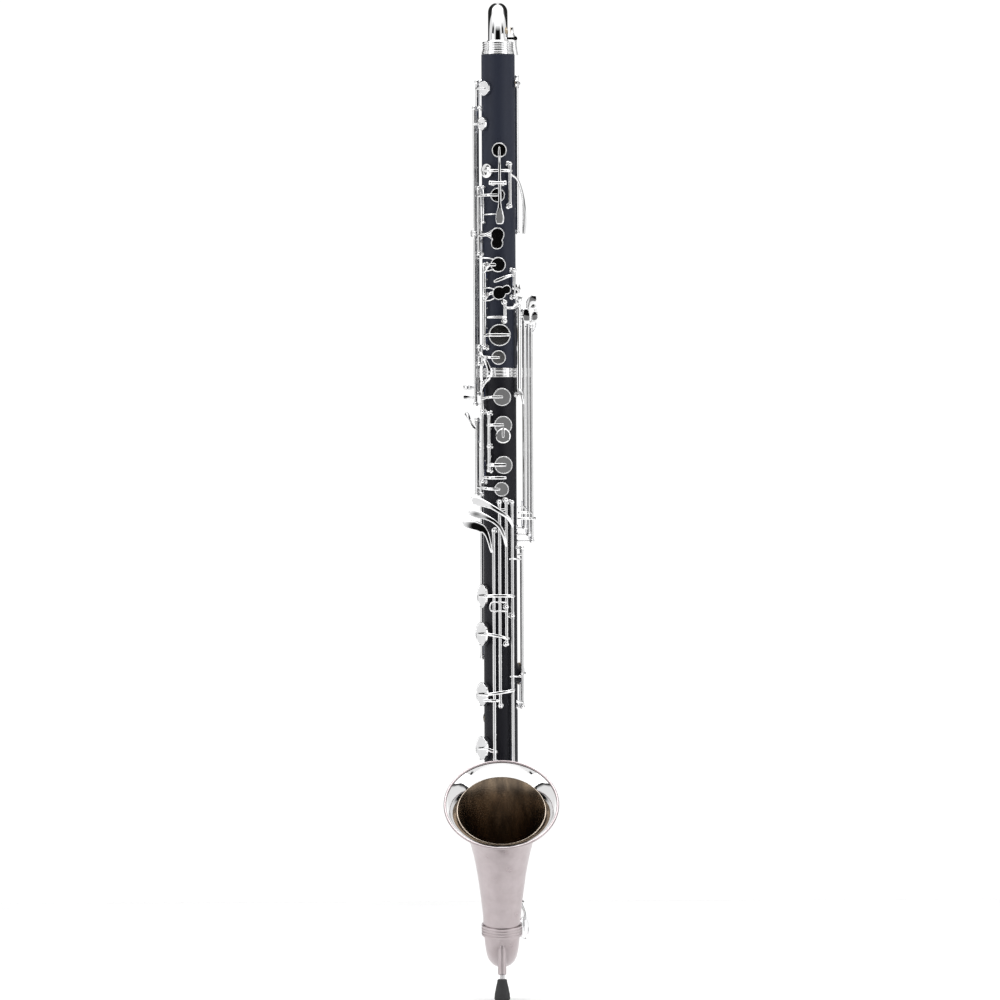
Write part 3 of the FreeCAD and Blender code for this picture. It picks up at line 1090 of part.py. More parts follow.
# ---------------------------------------------------------------- keys on the neck and the bell
def bracket(pivot, out, across, foot, half=4.6, cut_from=3.2, radius=2.4):
    """Forked bracket from `foot` behind it to a pivot, with ears either side and its axle."""
    reach = pivot.sub(foot).Length
    block = placed(Part.makeBox(2.6, 2 * half, reach, Vector(-1.3, -half, 0)), foot, out, out.cross(across))
    ears = cyl(pivot.sub(across * half), pivot.add(across * half), radius)
    gap = placed(Part.makeBox(20, 6.2, 12, Vector(-10, -3.1, 0)), pivot.sub(out * cut_from), out,
                 out.cross(across))
    piece = block.fuse(ears).cut(gap)
    piece = piece.cut(cyl(pivot.sub(across * 20), pivot.add(across * 20), 0.83))
    axle = cyl(pivot.sub(across * (half + 0.4)), pivot.add(across * (half + 0.4)), 0.8)
    return piece, axle


def rocker(name, pivot, out, across, hub_r, pieces, opens, stands_open, target, parent):
    hub = cyl(pivot.sub(across * 2.9), pivot.add(across * 2.9), hub_r)
    bore = cyl(pivot.sub(across * 20), pivot.add(across * 20), 0.86)
    add_key(name, [hub] + pieces, pivot, across, target, out, opens, stands_open, parent=parent, bore=bore)


def neck_vent_key():
    seat = vent_frame()["seat"]
    pivot = Vector(20.6, 0, COLLAR_TOP + 4.2)
    post_piece, axle = bracket(pivot, X, Y, Vector(NECK_R - 0.6, 0, pivot.z))
    neck = NODES["neck_tube"][0]
    NODES["neck_vent_post"] = [one_solid([post_piece.cut(neck)]), axle]
    base = seat.add(X * PAD_GAP)
    disc = placed(turned(cup_profile(5.6, False)), base, X, Y)
    arm = lever([base.add(Vector(2.6, 0, 3.2)), base.add(Vector(2.9, 0, 0)), base.add(Vector(3.6, 0, -5.5)),
                 pivot,
                 Vector(21.2, 0, pivot.z - 6), Vector(21.9, 0, pivot.z - 13), Vector(23.2, 0, pivot.z - 20)],
                [(1.3, 0.8), (1.6, 0.9), (1.6, 0.95), (1.8, 1.4), (1.7, 0.9), (2.4, 0.85), (2.9, 0.8)], Y)
    rocker("neck_vent_key", pivot, X, Y, 2.0, [disc, arm], 3.4, False, seat, "neck")


def bell_vent_key():
    out, across = radial(BELL_VENT_THETA), tangent(BELL_VENT_THETA)
    seat = at(BELL_VENT_THETA, BELL_VENT_R, BELL_VENT_Z)
    pivot = at(BELL_VENT_THETA, 24.0, 113.2)
    post_piece, axle = bracket(pivot, out, across, at(BELL_VENT_THETA, 14.0, pivot.z))
    NODES["key_posts"].append(one_solid([post_piece.cut(NODES["bell_bow"][0]).cut(sleeve_core())]))
    NODES["hinge_rods"].append(axle)
    disc = placed(turned(cup_profile(VENT_CUP_R, False)), seat.add(out * PAD_GAP), out, across)
    top = BELL_VENT_R + PAD_GAP + CUP_HEIGHT
    arm = lever([at(BELL_VENT_THETA, top, BELL_VENT_Z - 4), at(BELL_VENT_THETA, top + 0.4, BELL_VENT_Z + 2),
                 at(BELL_VENT_THETA, top + 0.4, BELL_VENT_Z + 12),
                 at(BELL_VENT_THETA, top - 1.2, BELL_VENT_Z + 21),
                 pivot, at(BELL_VENT_THETA, 25.0, pivot.z + 8), at(BELL_VENT_THETA, 27.0, pivot.z + 17)],
                [(1.6, 0.8), (2.2, 1.0), (2.2, 1.1), (1.9, 1.1), (2.0, 1.5), (1.9, 1.0), (1.4, 0.8)], across)
    rocker("bell_vent_key", pivot, out, across, 2.1, [disc, arm], 6.0, False, seat, "instrument")


def sleeve_core():
    """Everything inside the bow's upper sleeve, for trimming what stands on it."""
    return Part.makeCylinder(16.35, 60, Z * 80)


# ---------------------------------------------------------------- thumb rest and strap ring
def build_fittings():
    low, high = 654.0, 692.0
    plate = shell_ring(BODY_R + 0.02, BODY_R + 1.7, low, high)
    wedge = Part.makeBox(20, 30, high - low, Vector(-10, 0, low))
    plate = plate.common(wedge)
    hook = lever([at(180, 20.4, 676), at(180, 24.5, 675), at(180, 31, 671.5), at(180, 39, 669.0),
                  at(180, 47, 669.5),
                  at(180, 51.5, 672.0)],
                 [(7.0, 1.4), (7.2, 1.3), (8.0, 1.2), (8.6, 1.2), (8.4, 1.2), (7.0, 1.1)], X)
    rest = one_solid([plate, hook.cut(Part.makeCylinder(BODY_R + 0.02, 80, Z * 640))])
    for z in (low + 5, high - 5):
        rest = rest.cut(cyl(at(180, 15, z), at(180, 25, z), 1.6))
    NODES["thumb_rest"] = [rest]
    low, high, ring_y = 762.0, 790.0, BODY_R + 1.5 + STRAP_RING_R + 2.4
    plate = shell_ring(BODY_R + 0.02, BODY_R + 1.6, low, high).common(
        Part.makeBox(13, 30, high - low, Vector(-6.5, 0, low)))
    centre = Vector(0, ring_y, 776.0)
    ring = cyl(centre.sub(X * 1.5), centre.add(X * 1.5), STRAP_RING_R + 2.8)
    neck = Part.makeBox(3.0, 4.0, 9.0, Vector(-1.5, BODY_R + 0.5, 771.5))
    ring = one_solid([plate, ring.fuse(neck)])
    ring = ring.cut(cyl(centre.sub(X * 5), centre.add(X * 5), STRAP_RING_R))
    ring = ring.cut(Part.makeCylinder(BODY_R + 0.02, 80, Z * 740))
    for z in (low + 3.6, high - 3.6):
        ring = ring.cut(cyl(at(180, 15, z), at(180, 25, z), 1.3))
    NODES["strap_ring"] = [one_solid([ring])]
    screws = []
    for z, r in ((659, 1.55), (687, 1.55), (765.6, 1.25), (786.4, 1.25)):
        head = turned([(0, BODY_R + 1.72), (r * 1.9, BODY_R + 1.72), (r * 1.7, BODY_R + 2.3, "arc"),
                       (0, BODY_R + 2.7)])
        shank = Part.makeCylinder(r, 1.8, Vector(0, 0, BODY_R + 0.05))
        slot = Part.makeBox(r * 5, 0.6, 2.0, Vector(-r * 2.5, -0.3, BODY_R + 2.25))
        screws.append(placed(one_solid([head, shank]).cut(slot), Z * z, Y, X))
    NODES["fitting_screws"] = screws


def build_keys():
    lines = hinge_lines()
    posts, rods = {"upper": [], "lower": []}, []
    for line in lines.values():
        for z, piece in zip(line.z_posts, line.posts()):
            posts["upper" if z > JOINT_TOP else "lower"].append(piece)
        rods.append(line.rod())
    throat_a_key(posts["upper"], rods)
    throat_gs_key(lines["throat_gs"])
    left_index_keys(lines["left_index"])
    left_stack_keys(lines["left_stack"])
    left_sliver_key(lines["left_sliver"])
    left_link_lever(lines["left_link"])
    joint_bridge_key(lines["joint_bridge"])
    trill_keys(lines["trill_1"], lines["trill_2"])
    register_key(lines["register"])
    thumb_key(lines["thumb"])
    right_hand_keys(lines["right_index"], lines["right_stack"])
    right_link_bar(lines["right_index"])
    side_vent_key(lines["side_vent"])
    right_little_keys([lines["tube_" + k] for k in "abcd"])
    left_little_keys([lines[f"left_little_{k}"] for k in (1, 2, 3, 4)])
    low_thumb_keys(lines["low_d"], lines["low_c_sharp"], lines["low_c"])
    build_bodies()
    NODES["hinge_rods"] = rods
    NODES["key_posts"] = []
    for part in ("upper", "lower"):
        body = NODES[part + "_body"][0]
        NODES["key_posts"] += [one_solid([p.cut(body)]) for p in posts[part]]


def export():
    os.makedirs("parts", exist_ok=True)
    for name, solids in NODES.items():
        pieces = []
        for solid in solids:
            moved = solid.copy()
            moved.translate(ORIGIN_SHIFT)
            pieces.append(moved)
            if not moved.isValid() or len(moved.Solids) != 1:
                print("CHECK", name, "valid", moved.isValid(), "solids", len(moved.Solids))
        shape = pieces[0] if len(pieces) == 1 else Part.makeCompound(pieces)
        shape.exportStep(f"parts/{name}.step")


def main():
    build_keys()
    build_rings()
    build_neck()
    build_mouthpiece()
    build_bell()
    build_peg()
    neck_vent_key()
    bell_vent_key()
    build_fittings()
    export()


if __name__ == "__main__":
    main()
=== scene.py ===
import json
import math

import bpy
import numpy as np
from mathutils import Matrix, Vector

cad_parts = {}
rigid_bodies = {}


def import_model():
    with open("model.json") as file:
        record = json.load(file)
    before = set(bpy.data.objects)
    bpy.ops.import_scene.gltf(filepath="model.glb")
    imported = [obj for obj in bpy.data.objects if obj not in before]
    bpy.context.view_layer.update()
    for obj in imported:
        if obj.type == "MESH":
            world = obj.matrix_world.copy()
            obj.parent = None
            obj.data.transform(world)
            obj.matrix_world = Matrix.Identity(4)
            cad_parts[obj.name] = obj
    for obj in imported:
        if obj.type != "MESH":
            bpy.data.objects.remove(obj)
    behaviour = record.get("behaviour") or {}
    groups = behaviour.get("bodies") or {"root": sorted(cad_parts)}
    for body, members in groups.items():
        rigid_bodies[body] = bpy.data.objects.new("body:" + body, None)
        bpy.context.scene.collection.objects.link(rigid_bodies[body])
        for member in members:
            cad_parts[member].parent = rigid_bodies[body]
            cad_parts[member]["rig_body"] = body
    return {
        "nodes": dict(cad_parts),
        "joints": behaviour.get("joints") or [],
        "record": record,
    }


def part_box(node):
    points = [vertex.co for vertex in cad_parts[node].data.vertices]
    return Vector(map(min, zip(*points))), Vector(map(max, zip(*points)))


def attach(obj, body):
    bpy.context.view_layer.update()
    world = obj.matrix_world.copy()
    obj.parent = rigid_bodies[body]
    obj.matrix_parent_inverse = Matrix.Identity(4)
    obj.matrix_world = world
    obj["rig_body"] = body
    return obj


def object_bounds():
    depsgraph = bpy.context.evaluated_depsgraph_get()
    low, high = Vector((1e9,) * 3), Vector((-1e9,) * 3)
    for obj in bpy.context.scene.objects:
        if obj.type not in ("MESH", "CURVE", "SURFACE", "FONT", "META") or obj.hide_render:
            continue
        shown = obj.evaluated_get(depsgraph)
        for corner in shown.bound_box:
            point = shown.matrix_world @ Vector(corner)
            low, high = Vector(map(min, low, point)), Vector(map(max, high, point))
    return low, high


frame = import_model()
start_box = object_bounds()
ring_low, ring_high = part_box("middle_ring")
AXIS_X, AXIS_Y = 0.0, (ring_low.y + ring_high.y) / 2
ROOT = frame["nodes"]["upper_body"]["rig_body"]
MM = 0.001
BODY_R = 19.75    # outer radius of both body joints, in mm
HINGE_R = 24.6    # usual distance of a hinge line from the body's axis, in mm


# ---------------------------------------------------------------- places on the instrument
def radial(theta):
    """The way out from the body's axis at an angle in degrees: 0 is the front, 90 the viewer's right."""
    a = math.radians(theta)
    return Vector((math.sin(a), -math.cos(a), 0))


def at(theta, r, z):
    """A point by its angle from the front, its distance from the body's axis and its height, in mm."""
    return Vector((AXIS_X, AXIS_Y, z * MM)) + radial(theta) * (r * MM)


def link(obj):
    bpy.context.scene.collection.objects.link(obj)
    return obj


def mesh_object(name, verts, faces, material, smooth=True):
    data = bpy.data.meshes.new(name)
    data.from_pydata([tuple(v) for v in verts], [], faces)
    data.update()
    data.polygons.foreach_set("use_smooth", [smooth] * len(data.polygons))
    data.materials.append(material)
    return link(bpy.data.objects.new(name, data))


def spin(profile, steps):
    """Vertices and faces of a shape turned about Z from (radius, height) pairs."""
    verts, faces, rows = [], [], []
    for r, z in profile:
        if r < 1e-9:
            rows.append([len(verts)])
            verts.append((0, 0, z))
            continue
        rows.append(list(range(len(verts), len(verts) + steps)))
        for k in range(steps):
            a = math.tau * k / steps
            verts.append((r * math.cos(a), r * math.sin(a), z))
    for a, b in zip(rows, rows[1:]):
        for k in range(steps):
            n = (k + 1) % steps
            if len(a) == 1 and len(b) == 1:
                continue
            if len(a) == 1:
                faces.append((a[0], b[n], b[k]))
            elif len(b) == 1:
                faces.append((a[k], a[n], b[0]))
            else:
                faces.append((a[k], a[n], b[n], b[k]))
    return verts, faces


def facing(origin, out, side):
    """A transform that puts local Z along `out` and local X along `side`."""
    z = out.normalized()
    x = (side - z * side.dot(z)).normalized()
    y = z.cross(x)
    m = Matrix((x, y, z)).transposed().to_4x4()
    m.translation = origin
    return m


def tube(name, points, radius, material, sides):
    """A round bar through points, with one radius or one for each point."""
    radii = radius if isinstance(radius, (list, tuple)) else [radius] * len(points)
    verts, faces = [], []
    guide = Vector((0.13, 0.37, 0.92))    # only needs to lean away from the bars
    last = len(points) - 1
    for i, p in enumerate(points):
        ahead = (points[min(i + 1, last)] - points[max(i - 1, 0)]).normalized()
        u = ahead.cross(guide)
        if u.length < 0.1:
            u = ahead.cross(Vector((1, 0, 0)))
        u.normalize()
        v = ahead.cross(u)
        for k in range(sides):
            a = math.tau * k / sides
            verts.append(p + u * (radii[i] * math.cos(a)) + v * (radii[i] * math.sin(a)))
    for i in range(last):
        for k in range(sides):
            n = (k + 1) % sides
            faces.append((i * sides + k, i * sides + n, (i + 1) * sides + n, (i + 1) * sides + k))
    faces.append(tuple(reversed(range(sides))))
    faces.append(tuple(range(last * sides, len(points) * sides)))
    return mesh_object(name, verts, faces, material)


# ---------------------------------------------------------------- materials
class Shader:
    """A node material round one Principled shader."""

    def __init__(self, name):
        self.material = bpy.data.materials.new(name)
        self.material.use_nodes = True
        self.tree = self.material.node_tree
        self.tree.nodes.clear()
        self.bsdf = self.add("ShaderNodeBsdfPrincipled")
        self.out = self.add("ShaderNodeOutputMaterial")
        self.join(self.bsdf, "BSDF", self.out, "Surface")
        self.place = self.add("ShaderNodeTexCoord")

    def add(self, kind, **values):
        node = self.tree.nodes.new(kind)
        for key, value in values.items():
            setattr(node, key, value)
        return node

    def join(self, a, out, b, into):
        self.tree.links.new(a.outputs[out], b.inputs[into])

    def set(self, **values):
        for key, value in values.items():
            self.bsdf.inputs[key.replace("_", " ")].default_value = value

    def noise(self, scale, detail, stretch=(1, 1, 1), rough=0.55):
        mapping = self.add("ShaderNodeMapping")
        mapping.inputs["Scale"].default_value = stretch
        self.join(self.place, "Object", mapping, "Vector")
        node = self.add("ShaderNodeTexNoise")
        node.inputs["Scale"].default_value = scale
        node.inputs["Detail"].default_value = detail
        node.inputs["Roughness"].default_value = rough
        self.join(mapping, "Vector", node, "Vector")
        return node

    def ramp(self, source, out, stops, into):
        node = self.add("ShaderNodeValToRGB")
        while len(node.color_ramp.elements) < len(stops):
            node.color_ramp.elements.new(0.5)
        for element, (place, colour) in zip(node.color_ramp.elements, stops):
            element.position = place
            element.color = (*colour, 1)
        self.join(source, out, node, "Fac")
        self.join(node, "Color", self.bsdf, into)

    def spread(self, source, out, low, high, into):
        """Spreads a noise's usual values, 0.3 to 0.7, from low to high."""
        node = self.add("ShaderNodeMapRange")
        node.inputs["From Min"].default_value = 0.3
        node.inputs["From Max"].default_value = 0.7
        node.inputs["To Min"].default_value = low
        node.inputs["To Max"].default_value = high
        self.join(source, out, node, "Value")
        self.join(node, "Result", self.bsdf, into)

    def bump(self, source, out, strength, distance):
        node = self.add("ShaderNodeBump")
        node.inputs["Strength"].default_value = strength
        node.inputs["Distance"].default_value = distance
        self.join(source, out, node, "Height")
        self.join(node, "Normal", self.bsdf, "Normal")


FINE = 0.0004    # depth of the finest bump, in metres


def metal(name, dark, light, rough, scale=90.0, bump=0.03):
    """Polished or plated metal between two colours, with its roughness between two values."""
    s = Shader(name)
    s.set(Metallic=1.0)
    n = s.noise(scale, 4.0)
    s.ramp(n, "Fac", [(0.35, dark), (0.65, light)], "Base Color")
    s.spread(n, "Fac", rough[0], rough[1], "Roughness")
    fine = s.noise(scale * 9, 2.0)
    s.bump(fine, "Fac", bump, FINE)
    return s.material


def plastic(name, dark, light, rough, scale, bump, stretch=(1, 1, 1), gloss=0.5):
    """Resin, rubber, skin or paint between two colours, grained along `stretch`."""
    s = Shader(name)
    s.set(Specular_IOR_Level=gloss)
    n = s.noise(scale, 5.0, stretch)
    s.ramp(n, "Fac", [(0.3, dark), (0.7, light)], "Base Color")
    s.spread(n, "Fac", rough[0], rough[1], "Roughness")
    fine = s.noise(scale * 8, 3.0, stretch)
    s.bump(fine, "Fac", bump, FINE)
    return s.material


def cork_material(name):
    s = Shader(name)
    n = s.noise(240.0, 6.0)
    speck, tan, pale = (0.12, 0.055, 0.02), (0.42, 0.25, 0.11), (0.56, 0.37, 0.19)
    s.ramp(n, "Fac", [(0.32, speck), (0.42, tan), (0.62, pale)], "Base Color")
    s.spread(n, "Fac", 0.75, 0.9, "Roughness")
    s.bump(n, "Fac", 0.5, 0.0006)
    return s.material


def cane_material(name):
    s = Shader(name)
    n = s.noise(30.0, 6.0, (40, 2.2, 40))
    dark, straw, pale = (0.52, 0.33, 0.11), (0.74, 0.56, 0.25), (0.82, 0.68, 0.38)
    s.ramp(n, "Fac", [(0.3, dark), (0.5, straw), (0.7, pale)], "Base Color")
    s.spread(n, "Fac", 0.45, 0.6, "Roughness")
    s.bump(n, "Fac", 0.25, FINE)
    return s.material


def mouth_plane():
    """Middle of the bell's mouth and the way it faces, from the rolled rim."""
    co = np.array([v.co for v in frame["nodes"]["bell_rim"].data.vertices], float)
    middle = co.mean(0)
    _, axes = np.linalg.eigh(np.cov((co - middle).T))
    axis = Vector(axes[:, 0])
    if axis.z < 0:
        axis.negate()
    return Vector(middle), axis


RESIN = {"rough": (0.44, 0.52), "scale": 45.0, "bump": 0.08, "stretch": (1, 1, 0.08), "gloss": 0.22}
NICKEL = metal("nickel_plate", (0.84, 0.84, 0.845), (0.92, 0.92, 0.925), (0.015, 0.03), 90.0, 0.004)
STEEL = metal("steel_rod", (0.44, 0.43, 0.44), (0.54, 0.53, 0.54), (0.14, 0.22), 200.0)
BELL = metal("bell_plate", (0.43, 0.375, 0.382), (0.485, 0.43, 0.438), (0.27, 0.33), 70.0, 0.02)
LIP_BROWN = metal("lip_bead_brown", (0.36, 0.30, 0.24), (0.48, 0.41, 0.34), (0.18, 0.26))
LIGATURE = metal("ligature_plate", (0.78, 0.76, 0.72), (0.88, 0.86, 0.82), (0.12, 0.2))
UPPER = plastic("upper_resin", (0.022, 0.026, 0.042), (0.028, 0.033, 0.052), **RESIN)
LOWER = plastic("lower_resin", (0.007, 0.007, 0.011), (0.010, 0.010, 0.015), **RESIN)
EBONITE = plastic("ebonite", (0.008, 0.008, 0.009), (0.013, 0.013, 0.014), (0.2, 0.3), 50.0, 0.03)
RUBBER = plastic("foot_rubber", (0.024, 0.024, 0.026), (0.036, 0.036, 0.038), (0.62, 0.75), 300.0, 0.3)
SKIN = plastic("pad_skin", (0.60, 0.47, 0.30), (0.76, 0.65, 0.47), (0.45, 0.6), 160.0, 0.2)
SPRING = metal("spring_steel", (0.05, 0.07, 0.16), (0.09, 0.12, 0.25), (0.2, 0.3), 300.0)
CORK = cork_material("cork")
CANE = cane_material("cane")
LIP_DEPTH = 14.2 * MM    # how far below the mouth the bell's bright lip ends
SLOTS = {
    "nickel_plate": NICKEL, "steel_rod": STEEL, "bell_plate": BELL, "ligature_plate": LIGATURE,
    "upper_resin": UPPER, "lower_resin": LOWER, "ebonite": EBONITE, "foot_rubber": RUBBER,
    "cork": CORK, "cane": CANE,
}


def inside_material(name, middle, axis, depth):
    """Bright plate from the mouth to `depth` behind it, and streaked brown metal below that."""
    s = Shader(name)
    s.set(Metallic=1.0)
    away = s.add("ShaderNodeVectorMath", operation="SUBTRACT")
    away.inputs[0].default_value = middle
    s.join(s.place, "Object", away, 1)
    along = s.add("ShaderNodeVectorMath", operation="DOT_PRODUCT")
    s.join(away, "Vector", along, 0)
    along.inputs[1].default_value = axis
    half_edge = 0.0002
    step = s.add("ShaderNodeMapRange")
    step.inputs["From Min"].default_value = depth - half_edge
    step.inputs["From Max"].default_value = depth + half_edge
    s.join(along, "Value", step, "Value")
    streaks = s.noise(60.0, 5.0, (1, 1, 0.10), 0.6)
    stops = [(0.35, (0.10, 0.078, 0.06)), (0.66, (0.30, 0.225, 0.155))]
    brown = s.add("ShaderNodeValToRGB")
    for element, (place, colour) in zip(brown.color_ramp.elements, stops):
        element.position = place
        element.color = (*colour, 1)
    s.join(streaks, "Fac", brown, "Fac")
    mix = s.add("ShaderNodeMix", data_type="RGBA")
    s.join(step, "Result", mix, "Factor")
    mix.inputs["A"].default_value = (0.88, 0.875, 0.875, 1)
    s.join(brown, "Color", mix, "B")
    s.join(mix, "Result", s.bsdf, "Base Color")
    rough = s.add("ShaderNodeMapRange")
    rough.inputs["To Min"].default_value = 0.05
    rough.inputs["To Max"].default_value = 0.27
    s.join(step, "Result", rough, "Value")
    s.join(rough, "Result", s.bsdf, "Roughness")
    s.bump(streaks, "Fac", 0.04, FINE)
    return s.material


def dress_nodes():
    """Gives every CAD node the finish of its material slot."""
    slots = {part["node"]: part["material_slot"] for part in frame["record"]["subparts"]}
    for name, obj in frame["nodes"].items():
        obj.data.materials.clear()
        obj.data.materials.append(SLOTS[slots[name]])
    dress_bell()


def sheets(data):
    """The mesh's separate surfaces, each a list of its faces."""
    parent = list(range(len(data.vertices)))

    def root(i):
        while parent[i] != i:
            parent[i] = parent[parent[i]]
            i = parent[i]
        return i

    for face in data.polygons:
        first = root(face.vertices[0])
        for v in face.vertices[1:]:
            parent[root(v)] = first
    found = {}
    for face in data.polygons:
        found.setdefault(root(face.vertices[0]), []).append(face)
    return list(found.values())


def inner_sheets(node, line):
    """The surfaces of a tube-like node that face its middle line with a good share of their area."""
    inner, share = [], 0.3
    for faces in sheets(frame["nodes"][node].data):
        out = 0.0
        for face in faces:
            core = min(line, key=lambda p: (face.center - p).length)
            out += face.area * face.normal.dot((face.center - core).normalized())
        if out < -share * sum(face.area for face in faces):
            inner.append(faces)
    return inner


def flare_line():
    """Points down the middle of the bell, from its ferrule up to its mouth."""
    middle, axis = mouth_plane()
    lo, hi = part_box("bell_ferrule")
    foot = Vector((0, (lo.y + hi.y) / 2, lo.z))
    knee = middle - axis * (0.55 * (middle.z - foot.z))
    rows, steps = [], 60
    for k in range(steps + 1):
        t = k / steps
        rows.append(foot * (1 - t) ** 2 + knee * (2 * t * (1 - t)) + middle * t ** 2)
    return rows


def dress_bell():
    """The bell is satin outside and bright or brown on the inside."""
    frame["nodes"]["bell_flare"].data.materials.append(BELL_INSIDE)
    for faces in inner_sheets("bell_flare", flare_line()):
        for face in faces:
            face.material_index = 1


SHARE_ANGLE = 38    # degrees between faces that still share a shading normal
CURVED_LEVERS = [
    "right_little_key_1", "right_little_key_2", "right_little_key_3",
    "left_little_key_1", "left_little_key_2", "left_little_key_3", "left_little_key_4",
    "side_trill_key_1", "side_trill_key_2", "side_vent_key", "throat_a_key", "throat_g_sharp_key",
    "right_index_key", "left_sliver_key", "register_key", "thumb_key",
]


def soften(data, limit):
    """Shares one shading normal between faces that meet at less than `limit` degrees, and moves no vertex."""
    faces, corners = len(data.polygons), len(data.loops)
    normal, area = np.empty(faces * 3), np.empty(faces)
    sides, vertex = np.empty(faces, int), np.empty(corners, int)
    place = np.empty(len(data.vertices) * 3)
    data.polygons.foreach_get("normal", normal)
    data.polygons.foreach_get("area", area)
    data.polygons.foreach_get("loop_total", sides)
    data.loops.foreach_get("vertex_index", vertex)
    data.vertices.foreach_get("co", place)
    normal = normal.reshape(-1, 3)
    _, point = np.unique(np.round(place.reshape(-1, 3) * 1e6).astype(np.int64), axis=0, return_inverse=True)
    owner = np.repeat(np.arange(faces), sides)
    meets = point.ravel()[vertex]
    order = np.argsort(meets, kind="stable")
    _, first, count = np.unique(meets[order], return_index=True, return_counts=True)
    per_corner = np.repeat(count, count)
    mine = np.repeat(np.arange(corners), per_corner)
    shift = np.arange(len(mine)) - np.repeat(np.cumsum(per_corner) - per_corner, per_corner)
    other = np.repeat(np.repeat(first, count), per_corner) + shift
    mine, other = order[mine], order[other]
    near = (normal[owner[mine]] * normal[owner[other]]).sum(1) > math.cos(math.radians(limit))
    mine, other = mine[near], other[near]
    pull = normal[owner[other]] * area[owner[other]][:, None]
    shared = np.stack([np.bincount(mine, pull[:, k], corners) for k in range(3)], 1)
    shared /= np.maximum(np.linalg.norm(shared, axis=1), 1e-12)[:, None]
    data.polygons.foreach_set("use_smooth", [True] * faces)
    data.normals_split_custom_set(shared.tolist())


BELL_INSIDE = inside_material("bell_inside", *mouth_plane(), LIP_DEPTH)
dress_nodes()
for lever in CURVED_LEVERS:
    soften(frame["nodes"][lever].data, SHARE_ANGLE)


# ---------------------------------------------------------------- pads under the cups
# In mm: distance of the tone holes' seats from the body's axis, the air under a closed pad, the thickness of
# a pad and how much smaller its radius is than its cup's.
SEAT_R, PAD_GAP, PAD_THICK, PAD_INSET = BODY_R + 1.2, 0.12, 1.7, 0.72
LOW_ANGLE, LOW_CUP = -68, 14.0         # the row of big cups at the side of the lower joint
BELL_VENT = (68, 26.0, 82.8)           # angle, distance from the body's axis and height of its seat
NECK_VENT_OUT, NECK_VENT_UP = 14.6, 1145
CLOSED_KEYS = {
    # key: (angle, height, outer radius of its cup)
    "throat_a_key": (2.5, 1001.5, 8.85), "throat_g_sharp_key": (-38.4, 977.2, 8.25),
    "left_sliver_key": (88, 838, 6.5), "side_trill_key_1": (-46.6, 1074.7, 8.6),
    "side_trill_key_2": (-57, 1033, 8.0), "register_key": (80, 1081, 6.0),
    "side_vent_key": (4.8, 601.2, 8.6), "right_little_key_1": (LOW_ANGLE, 475.2, LOW_CUP),
}
OPEN_KEYS = {
    # key: (angle, height, outer radius of its cup), all in the closed place
    "upper_vent_key": (1.3, 948.4, 8.55), "left_index_key": (0.5, 901.7, 8.3),
    "left_middle_key": (0, 866.2, 9.0), "left_ring_key": (2.5, 832.7, 8.1),
    "left_resonance_key": (3.3, 783.2, 13.0), "bridge_key_upper": (1.5, 756.7, 8.55),
    "thumb_key": (-179, 894, 9.0), "right_index_key": (10.3, 710, 10.6),
    "right_middle_key": (11, 677, 10.6), "right_ring_key": (11.8, 629.8, 10.6),
    "right_little_key_2": (LOW_ANGLE, 430.3, LOW_CUP), "right_little_key_3": (LOW_ANGLE, 295.2, LOW_CUP),
    "low_e_flat_key": (LOW_ANGLE, 359, LOW_CUP), "low_d_key": (116, 383, 13.5),
    "low_c_sharp_key": (-160, 430, 13.5), "low_c_key": (200, 330, 13.5),
}


def body_named(node):
    """The rigid body a key belongs to."""
    return frame["nodes"][node]["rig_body"]


def joint_of(node):
    """The joint a key turns on."""
    body = body_named(node)
    return next(j for j in frame["joints"] if j["child"] == body)


def rest_turn(node):
    """The turn from a key's closed place to where it stands open at rest."""
    joint = joint_of(node)
    pivot, axis = Vector(joint["pos_m"]), Vector(joint["axis"])
    turn = Matrix.Rotation(-math.radians(joint["range_deg"][1]), 4, axis)
    return Matrix.Translation(pivot) @ turn @ Matrix.Translation(-pivot)


def pad_profile(radius):
    """Half of a pad's section, with the ring that its tone hole has pressed into it."""
    r, t = (radius - PAD_INSET) * MM, PAD_THICK * MM
    edge = 0.5 * MM
    ring = 0.62 * r
    return [(0, 0.0), (ring, 0.0), (ring + 0.12 * MM, 0.06 * MM), (ring + 0.3 * MM, 0.0), (r - edge, 0.0),
            (r - 0.3 * edge, 0.25 * edge), (r, edge), (r, t), (0, t)]


def add_pad(node, seat, out, radius, stands_open):
    """A skin-covered pad in a key's cup, turned with the key to where it stands at rest."""
    verts, faces = spin(pad_profile(radius), 40)
    pad = mesh_object(node.replace("_key", "") + "_pad", verts, faces, SKIN)
    place = facing(seat + out * (PAD_GAP * MM), out, Vector((0, 0, 1)))
    if stands_open:
        place = rest_turn(node) @ place
    pad.matrix_world = place
    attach(pad, body_named(node))


def add_pads():
    """A pad in every cup, the two on the bow and the neck included."""
    for stands_open, keys in ((False, CLOSED_KEYS), (True, OPEN_KEYS)):
        for node, (theta, z, radius) in keys.items():
            add_pad(node, at(theta, SEAT_R, z), radial(theta), radius, stands_open)
    add_pad("bell_vent_key", at(*BELL_VENT), radial(BELL_VENT[0]), 13.6, False)
    neck_vent = Vector((NECK_VENT_OUT * MM, AXIS_Y, NECK_VENT_UP * MM))
    add_pad("neck_vent_key", neck_vent, Vector((1, 0, 0)), 5.6, False)


add_pads()


